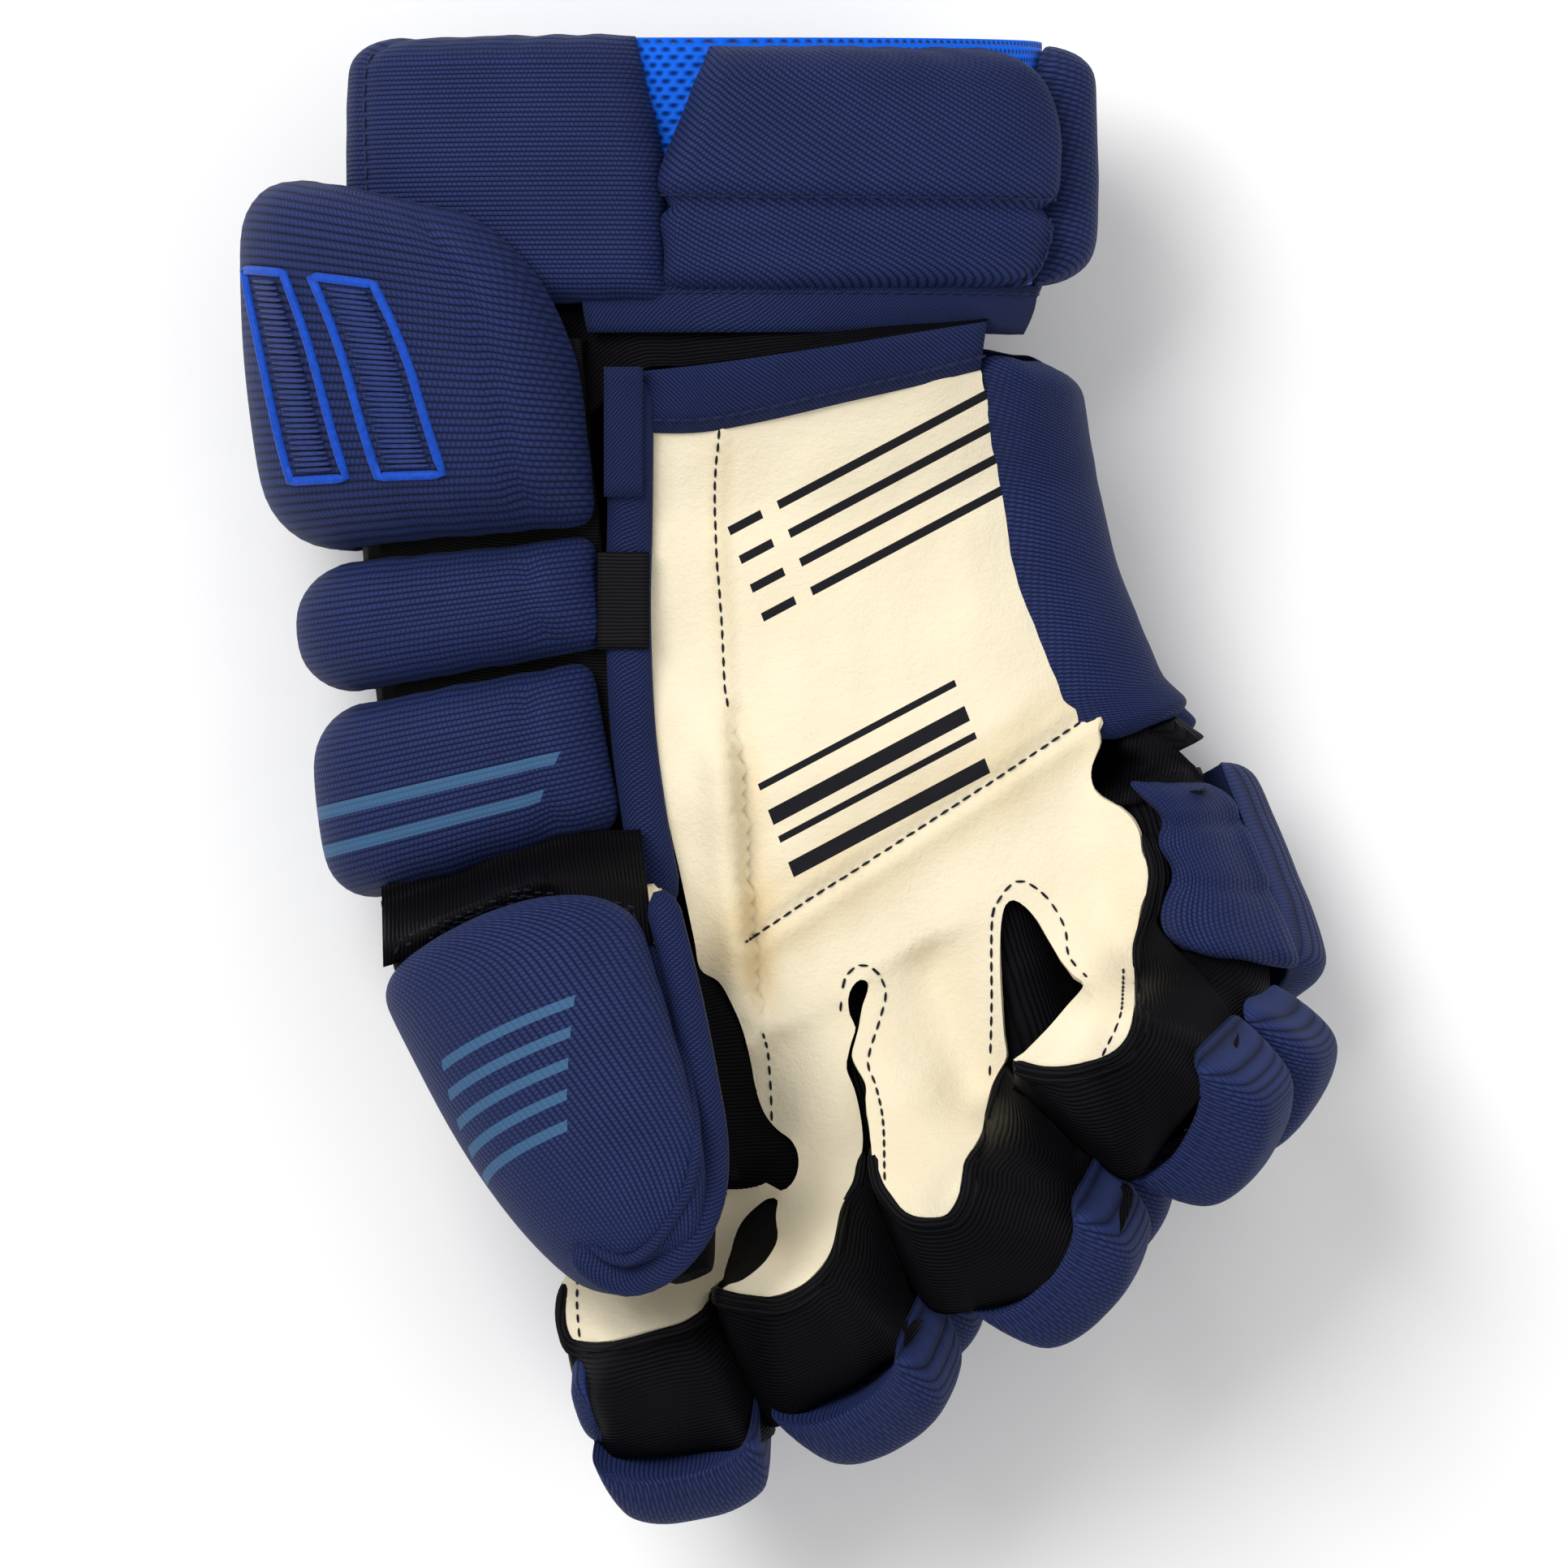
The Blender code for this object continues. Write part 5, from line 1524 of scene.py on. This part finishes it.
# the little finger's side pad, seen face-on beside its suede, and the gusset above it
sidePad = {
    "inner": ((1384, 962), (1416, 992), (1430, 1010), (1426, 1040), (1444, 1076), (1430, 1112), (1428, 1138),
              (1446, 1170)),
    "outer": ((1494, 964), (1520, 986), (1542, 1030), (1560, 1070), (1570, 1105), (1586, 1140), (1602, 1175),
              (1610, 1198)),
    "thickness": 5.0, "length": 25.0, "width": 42.0, "corners": (3, 3, 4, 4), "edge": 5.0, "cell": 2.4,
    "seams": ((((2, 13), (24, 10)), 1.6, 1.2), (((2, 27), (24, 25)), 1.4, 0.8)),
    "gussetHigh": ((1350, 876), (1374, 882), (1423, 902), (1462, 934), (1484, 962)),
    "gussetLow": ((1338, 985), (1385, 992), (1420, 985), (1450, 976), (1488, 976)),
    "gussetTaut": 60, "gussetDrop": 2.2,
}


def addSidePad():
    trees = [pads[f"little_{part}"]["tree"] for part in ("base_pad", "middle_pad")]
    body = formTree(fingers["little"], 0.0, fingers["little"].length)
    over = laidOver(sidePad["inner"], sidePad["outer"], trees, (body,))
    length, width = sidePad["length"], sidePad["width"]

    def place(along, across, height):
        return over(along / length, across / width, height)

    addPad("little_side_pad", "little_base", place, length, width, sidePad["thickness"], cloths["finger"],
           sidePad["corners"], sidePad["edge"], cell=sidePad["cell"], nodes=(), seams=sidePad["seams"])
    finishPads()
    over = laidOver(sidePad["gussetHigh"], sidePad["gussetLow"],
                    treesOf("little_gusset", "hand_liner", "little_sleeve"), taut=sidePad["gussetTaut"],
                    drop=sidePad["gussetDrop"])
    addSheet("little_gusset_fold", "littleKnuckle", over, (14, 22), (0.5, 1.5), cloths["stretch"], (16.0, 28.0))


addSidePad()

# the black web between the thumb and the palm, and the lining behind the gap below it
webSet = {
    "thumbSide": ((836, 1188), (842, 1222), (852, 1264), (864, 1312), (874, 1362), (884, 1412), (890, 1446),
                  (892, 1476)),
    "palmSide": ((862, 1186), (897, 1206), (916, 1241), (930, 1270), (940, 1304), (947, 1337), (960, 1368),
                 (978, 1388), (994, 1404), (1000, 1428), (996, 1452), (984, 1482)),
    "gapLeft": ((884, 1582), (890, 1552), (895, 1527), (903, 1503), (918, 1484), (944, 1468)),
    "gapRight": ((905, 1594), (924, 1588), (946, 1571), (960, 1552), (970, 1528), (969, 1476)), "drop": 2.8,
    "gussetAngles": (-6, 30), "gussetLines": (29, 47),  # start and reach
}


def thumbGusset(share, other, height):
    (angle, wide), (line, long) = webSet["gussetAngles"], webSet["gussetLines"]
    return thumb.point(angle + wide * share, line + long * other, height)


def addWeb():
    addSheet("thumb_gusset_cloth", "thumb", thumbGusset, (10, 28), (2.9, 3.7), cloths["web"], (22.0, 47.0))
    over = laidOver(webSet["thumbSide"], webSet["palmSide"], treesOf("thumb_gusset", "thumb_palm"), taut=6,
                    drop=webSet["drop"])
    bendings["webSide"] = ("hand", "thumb", over(0.9, 0.5, 0.0), over(0.1, 0.5, 0.0))
    addSheet("thumb_web_cloth", "webSide", over, (16, 30), (0.4, 1.3), cloths["web"], (18.0, 60.0))
    below = np.array((0, 0, webSet["drop"]))
    gap = [[onPalm(u, v, 0.0) - below for u, v in webSet[key]] for key in ("gapLeft", "gapRight")]
    loft("gap_lining_cloth", "middleKnuckle", gap, 8, cloths["lining"], None, "black_stretch", 1.0, -1.0)


# the flex band's face over the thumb's root
flexSet = {"high": ((470, 1092), (540, 1070), (600, 1048), (660, 1034), (720, 1024), (790, 1022)),
           "low": ((472, 1192), (530, 1174), (590, 1150), (650, 1136), (720, 1140), (806, 1166))}


def addFlexFace():
    trees = treesOf("thumb_flex_band", "thumb_sleeve", "thumb_palm")
    over = laidOver(flexSet["high"], flexSet["low"], trees, taut=40)
    return addSheet("thumb_flex_face", "thumbWeb", over, (12, 30), (0.3, 1.4), cloths["stretch"], (18.0, 60.0))


# bindings, heel, wrist gusset, loop and tag
tapeLines = {
    "heelLow": ((792, 533), (842, 534), (885, 530), (960, 515), (1040, 496), (1120, 478), (1208, 456)),
    "heelHigh": ((784, 458), (842, 452), (885, 447), (960, 436), (1040, 424), (1120, 411), (1216, 396)),
    "wristHigh": ((660, 398), (735, 396), (800, 392), (885, 390), (960, 390), (1040, 390), (1150, 390),
                  (1306, 388)),
    "edge": ((777, 462), (777, 560), (776, 650), (774, 740), (776, 830), (780, 900), (787, 960), (798, 1030),
             (809, 1085), (818, 1125)),
}
handTree = formTree(hand, handSet["lines"][0] - 10.0, handSet["lines"][4] + 4.0)


def onHand(u, v, lift, z=75.0):
    for _ in range(3):
        hit, normal = fallOn(handTree, *fromPhoto(u, v, z)[:2])
        if hit is None:
            return fromPhoto(u, v, handTree.find_nearest(Vector(fromPhoto(u, v, z)))[0].z + lift)
        z = hit.z
    return fromPhoto(u, v, z + lift)


loftSet = {"step": 3.0, "ripple": 0.35, "rippleLength": 4.0, "rippleAcross": 1.5}


def loft(name, way, curves, rows, material, node, slot, wall, bulge):
    fine = [smoothPath(curve, loftSet["step"]) for curve in curves]
    count = max(len(c) for c in fine)
    shares = np.linspace(0, 1, count)
    fine = np.array([[[np.interp(s, np.linspace(0, 1, len(c)), c[:, k]) for k in range(3)] for s in shares]
                     for c in fine])  # curve, place along, xyz
    where = np.linspace(0, 1, len(fine))
    points, flats = [], []
    for low in (0.0, wall):
        for k in range(count):
            for s in np.linspace(0, 1, rows):
                spot = np.array([np.interp(s, where, fine[:, k, axis]) for axis in range(3)])
                ripple = noise((k / loftSet["rippleLength"], s * loftSet["rippleAcross"], 2.0))
                crown = bulge * math.sqrt(max(0.0, 1 - (2 * s - 1) ** 2))
                spot[2] += crown + ripple * loftSet["ripple"] - low
                points.append(spot)
                flats.append((k * loftSet["step"], s * np.linalg.norm(fine[-1, k] - fine[0, k])))
    piece = makePiece(name, points, sheetFaces(count, rows), material, flats)
    declareSheet(piece, way, node, slot)


cuffTapes = {"angles": (20, 88), "lines": (-2.4, 10.4), "crown": 0.8, "liningAngles": (-60, 359),
             "liningLines": (9, -9.6), "sewnAt": (0.82, 3.5), "sewnShares": (0.02, 0.97, 60)}  # start and reach


def cuffTape(share, other, height):
    (angle, wide), (line, long) = cuffTapes["angles"], cuffTapes["lines"]
    height = fit["padStart"] + height + cuffTapes["crown"] * math.sin(math.pi * other)
    return cuff.point(angle + wide * share, cuffSet["start"] + line + long * other, height)


def cuffLining(share, other, height):
    (angle, wide), (line, long) = cuffTapes["liningAngles"], cuffTapes["liningLines"]
    return cuff.point(angle + wide * share, cuffSet["start"] + line + (cuffSet["length"] + long) * other, height)


addWeb()
flexFace = addFlexFace()
bindingSet = {"heelLow": 3.4, "heelHigh": 3.0, "edge": 4.2, "edgeHalf": (4.9, 2.0), "under": 2.5,
              "corner": (700, 540, 1.0), "wristLine": 101.5, "wristAngles": ((660, 735, 1306), (124, 108, 30))}
heelLow, heelHigh, edgePath = ([onHand(u, v, bindingSet[key]) for u, v in tapeLines[key]]
                               for key in ("heelLow", "heelHigh", "edge"))
wristHigh = [cuff.point(np.interp(u, *bindingSet["wristAngles"]), bindingSet["wristLine"], 1.0)
             for u, v in tapeLines["wristHigh"]]
loft("heel_binding_tape", "hand", (heelLow, heelHigh), 9, cloths["tape"], "heel_binding", "navy_tape", 2.2, 1.6)
under = [onHand(*bindingSet["corner"])] + [spot - np.array((0, 0, bindingSet["under"])) for spot in heelHigh]
loft("wrist_gusset_cloth", "wrist", (under, wristHigh), 9, cloths["stretch"], "wrist_gusset", "black_stretch",
     1.2, -1.0)
addSheet("cuff_binding_tape", "cuff", cuffTape, (44, 6), (0.0, 3.2), cloths["tape"], (130.0, 10.0),
         "cuff_binding", "navy_tape")
addSheet("cuff_liner_cloth", "cuff", cuffLining, (90, 12), (-1.4, 1.4), cloths["mesh"], (400.0, 60.0),
         "cuff_liner", "blue_mesh")
addTape("edge_binding_tape", "hand", smoothPath(edgePath, 3.0), *bindingSet["edgeHalf"], cloths["tape"],
        "edge_binding")
capEdge = {
    "tape": ((812, 1098), (822, 1138), (833, 1182), (844, 1228), (856, 1286), (866, 1340), (874, 1385),
             (877, 1425), (875, 1462), (867, 1494), (850, 1527), (824, 1555), (797, 1571), (772, 1576),
             (748, 1569), (725, 1553), (706, 1536)),
    "piping": ((800, 1158), (816, 1206), (831, 1262), (846, 1323), (856, 1385), (856, 1428), (847, 1467),
               (822, 1512), (797, 1540), (772, 1553), (748, 1548), (728, 1536)),
    "half": (3.7, 2.4), "pipe": 1.2, "step": 2.5, "rimSpots": 60,
}
capPad = pads["thumb_cap"]
capTree = treeOf(capPad["piece"])
capRim = np.linspace(0.0, capPad["width"], capEdge["rimSpots"])
capRim = np.array([capPad["spot"](0.0, across) for across in capRim])


# over the cap where it lies below the spot, and level with its rim elsewhere
def onCap(u, v, lift, z=95.0):
    for _ in range(3):
        x, y, _z = fromPhoto(u, v, z)
        hit = capTree.ray_cast(Vector((x, y, 250.0)) * mm, down)[0]
        rim = capRim[np.argmin(np.hypot(capRim[:, 0] - x, capRim[:, 1] - y)), 2]
        z = rim if hit is None else hit.z / mm
    return fromPhoto(u, v, z + lift)


def capLine(key, lift, passes=3):
    path = np.array([onCap(u, v, lift) for u, v in capEdge[key]])
    for _ in range(passes):  # a soft tape evens out the steps
        path[1:-1, 2] = 0.25 * path[:-2, 2] + 0.5 * path[1:-1, 2] + 0.25 * path[2:, 2]
    return smoothPath(path, capEdge["step"])


addTape("thumb_edge_binding_tape", "thumb", capLine("tape", 0.8), *capEdge["half"], cloths["tape"],
        "thumb_edge_binding")
addTape("thumb_piping", "thumb", capLine("piping", 0.4, 1), capEdge["pipe"], capEdge["pipe"], cloths["tape"])


tabs = {  # first and last row, left and right, thickness, cloth, flat size, node, slot
    "wrist_loop_tab": ((452, 612, 744, 792), 1.6, "tape", (9.0, 28.0), "wrist_loop", "navy_tape"),
    "edge_tag_cloth": ((680, 800, 736, 800), 1.0, "lining", (11.0, 21.0), "edge_tag", "black_stretch"),
}
tabCounts, tabLift = (6, 10), 6.0


def tabPlace(first, last, low, high):
    def place(share, other, height):
        return onHand(low + (high - low) * share, first + (last - first) * other, tabLift + height)
    return place


for name, (box, thickness, cloth, size, node, slot) in tabs.items():
    addSheet(name, "hand", tabPlace(*box), tabCounts, (0.0, thickness), cloths[cloth], size, node, slot)
print("bindings made")

# rows of stitches
suedeSeams = (
    ((920, 1160), (1000, 1106), (1080, 1055), (1160, 1003), (1240, 951), (1310, 904), (1354, 874)),
    ((886, 535), (881, 600), (883, 680), (889, 760), (893, 840), (896, 866)),
    ((1220, 1319), (1222, 1236), (1222, 1139), (1230, 1110), (1249, 1088), (1268, 1089), (1293, 1110),
     (1312, 1144), (1317, 1178), (1337, 1202)),
    ((1384, 1197), (1381, 1251), (1361, 1296)),
    ((1036, 1240), (1038, 1222), (1043, 1202), (1060, 1189), (1079, 1197), (1091, 1222), (1084, 1256),
     (1072, 1294), (1070, 1314), (1079, 1338), (1088, 1382), (1090, 1449)),
    ((941, 1276), (946, 1295), (950, 1340), (951, 1375)),
    ((711, 1578), (711, 1610), (714, 1642)),
)
seamPitch, tapePitch, zigzagPitch, satinPitch = 2.9, 3.2, 2.2, 13.5


def sewSuede(line):
    run, last = [], None
    for u, v in smoothPath(np.array(line, float), 9.0):
        spot = onPalm(u, v, 0.15)
        way = wayOf(palm["partAt"][nearPalm(u, v)], spot)
        if way != last and len(run) > 1:
            sew(last, run + [spot], pitch=seamPitch)
            run = []
        run, last = run + [spot], way
    if len(run) > 1:
        sew(last, run, pitch=seamPitch)


for line in suedeSeams:
    sewSuede(line)
heelRow = {"above": 16, "lift": 5.6, "step": 4.0}
heelLine = [onHand(u, v - heelRow["above"], heelRow["lift"]) for u, v in tapeLines["heelLow"]]
sew("hand", smoothPath(heelLine, heelRow["step"]), "navyThread", tapePitch)
length = pads["cuff_palm_pad"]["length"]
sewOnPad("cuff_palm_pad", ((3, cuffSeam["line"] - 1), (length - 2, cuffSeam["line"])))
sewOnPad("cuff_palm_pad", ((6.2, 2), (6.6, 17)))
seamAlong = pads["cuff_thumb_pad"]["length"] - cuffSeam["side"]
sewOnPad("cuff_thumb_pad", ((seamAlong, 4), (seamAlong, pads["cuff_thumb_pad"]["width"] - 4)))
cuffRow = [cuffTape(share, *cuffTapes["sewnAt"]) for share in np.linspace(*cuffTapes["sewnShares"])]
sew("cuff", cuffRow, "navyThread", tapePitch)
bandTree = treeOf(flexFace)
zigzagRow = {"start": 482, "reach": 300, "turns": 44, "half": 7, "lift": 0.2, "least": 5,
             "line": ((0, 0.28, 0.53, 1), (1166, 1136, 1102, 1122))}
zigzag = []
for number, share in enumerate(np.linspace(0, 1, zigzagRow["turns"])):
    u, v = zigzagRow["start"] + zigzagRow["reach"] * share, np.interp(share, *zigzagRow["line"])
    v += zigzagRow["half"] if number % 2 else -zigzagRow["half"]
    zigzag.append(fromPhoto(u, v, topOf(u, v, [bandTree], 0.0) + zigzagRow["lift"]))
sew("thumbWeb", [spot for spot in zigzag if spot[2] > zigzagRow["least"]], pitch=zigzagPitch)

# two plain embroidered blocks on the wrist roll
blockSet = {"corners": (((22, 9), (34, 9), (40, 34), (28, 34)), ((40, 9), (52, 9), (58, 34), (46, 34))),
            "rows": 34, "steps": 12, "shares": (0.05, 0.95), "lift": 0.4, "half": (1.0, 0.6), "around": 8}
for number, corners in enumerate(blockSet["corners"]):
    ring = np.array(corners + corners[:1], float)
    shares = np.linspace(0, 1, blockSet["steps"], endpoint=False)[:, None]
    path = np.vstack([a + (b - a) * shares for a, b in zip(ring[:-1], ring[1:])])
    path = [onPad("wrist_roll", *spot, blockSet["lift"]) for spot in np.vstack((path, path[:2]))]
    addTape(f"embroidered_edge_{number}", "hand", path, *blockSet["half"], cloths["royalThread"],
            slot="navy_woven", around=blockSet["around"])
    for share in np.linspace(*blockSet["shares"], blockSet["rows"]):
        left, right = ring[0] + (ring[3] - ring[0]) * share, ring[1] + (ring[2] - ring[1]) * share
        sewOnPad("wrist_roll", ((left + right) / 2, right), "satinThread", satinPitch)
print("stitch lines laid")

# floor and light
stageSet = {"floor": 3.0, "shade": (0.96, 0.96, 0.96), "sky": 0.52,
            "lights": {"key": (34.0, 1.2, (-0.9, 0.9, 1.7)), "fill": (9.0, 1.6, (1.2, -0.6, 1.5))}}


def addStage():
    half = stageSet["floor"] / 2
    mesh = bpy.data.meshes.new("floor")
    mesh.from_pydata([(-half, -half, 0), (half, -half, 0), (half, half, 0), (-half, half, 0)], [], [(0, 1, 2, 3)])
    floor = newObject("floor", mesh)
    material = bpy.data.materials.new("floorPaint")
    material.use_nodes = True
    wire(material.node_tree, material.node_tree.nodes["Principled BSDF"],
         {"Base Color": (*stageSet["shade"], 1.0), "Roughness": 0.9})
    mesh.materials.append(material)
    for name, (power, size, place) in stageSet["lights"].items():
        light = bpy.data.lights.new(name, "AREA")
        light.energy, light.size = power, size
        holder = newObject(name, light)
        holder.location = place
        holder.rotation_euler = Vector(place).to_track_quat("Z", "Y").to_euler()
    world = bpy.data.worlds.new("studio")
    world.use_nodes = True
    wire(world.node_tree, world.node_tree.nodes["Background"], {0: (1.0, 1.0, 1.0, 1.0), 1: stageSet["sky"]})
    bpy.context.scene.world = world


addStage()
for node in ("backhand", "cuff_back", "cuff_thumb", "thumb", *fingers):
    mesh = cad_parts[node + "_plate"].data
    mesh.materials.clear()
    mesh.materials.append(cloths["plate"])
makeStitches()
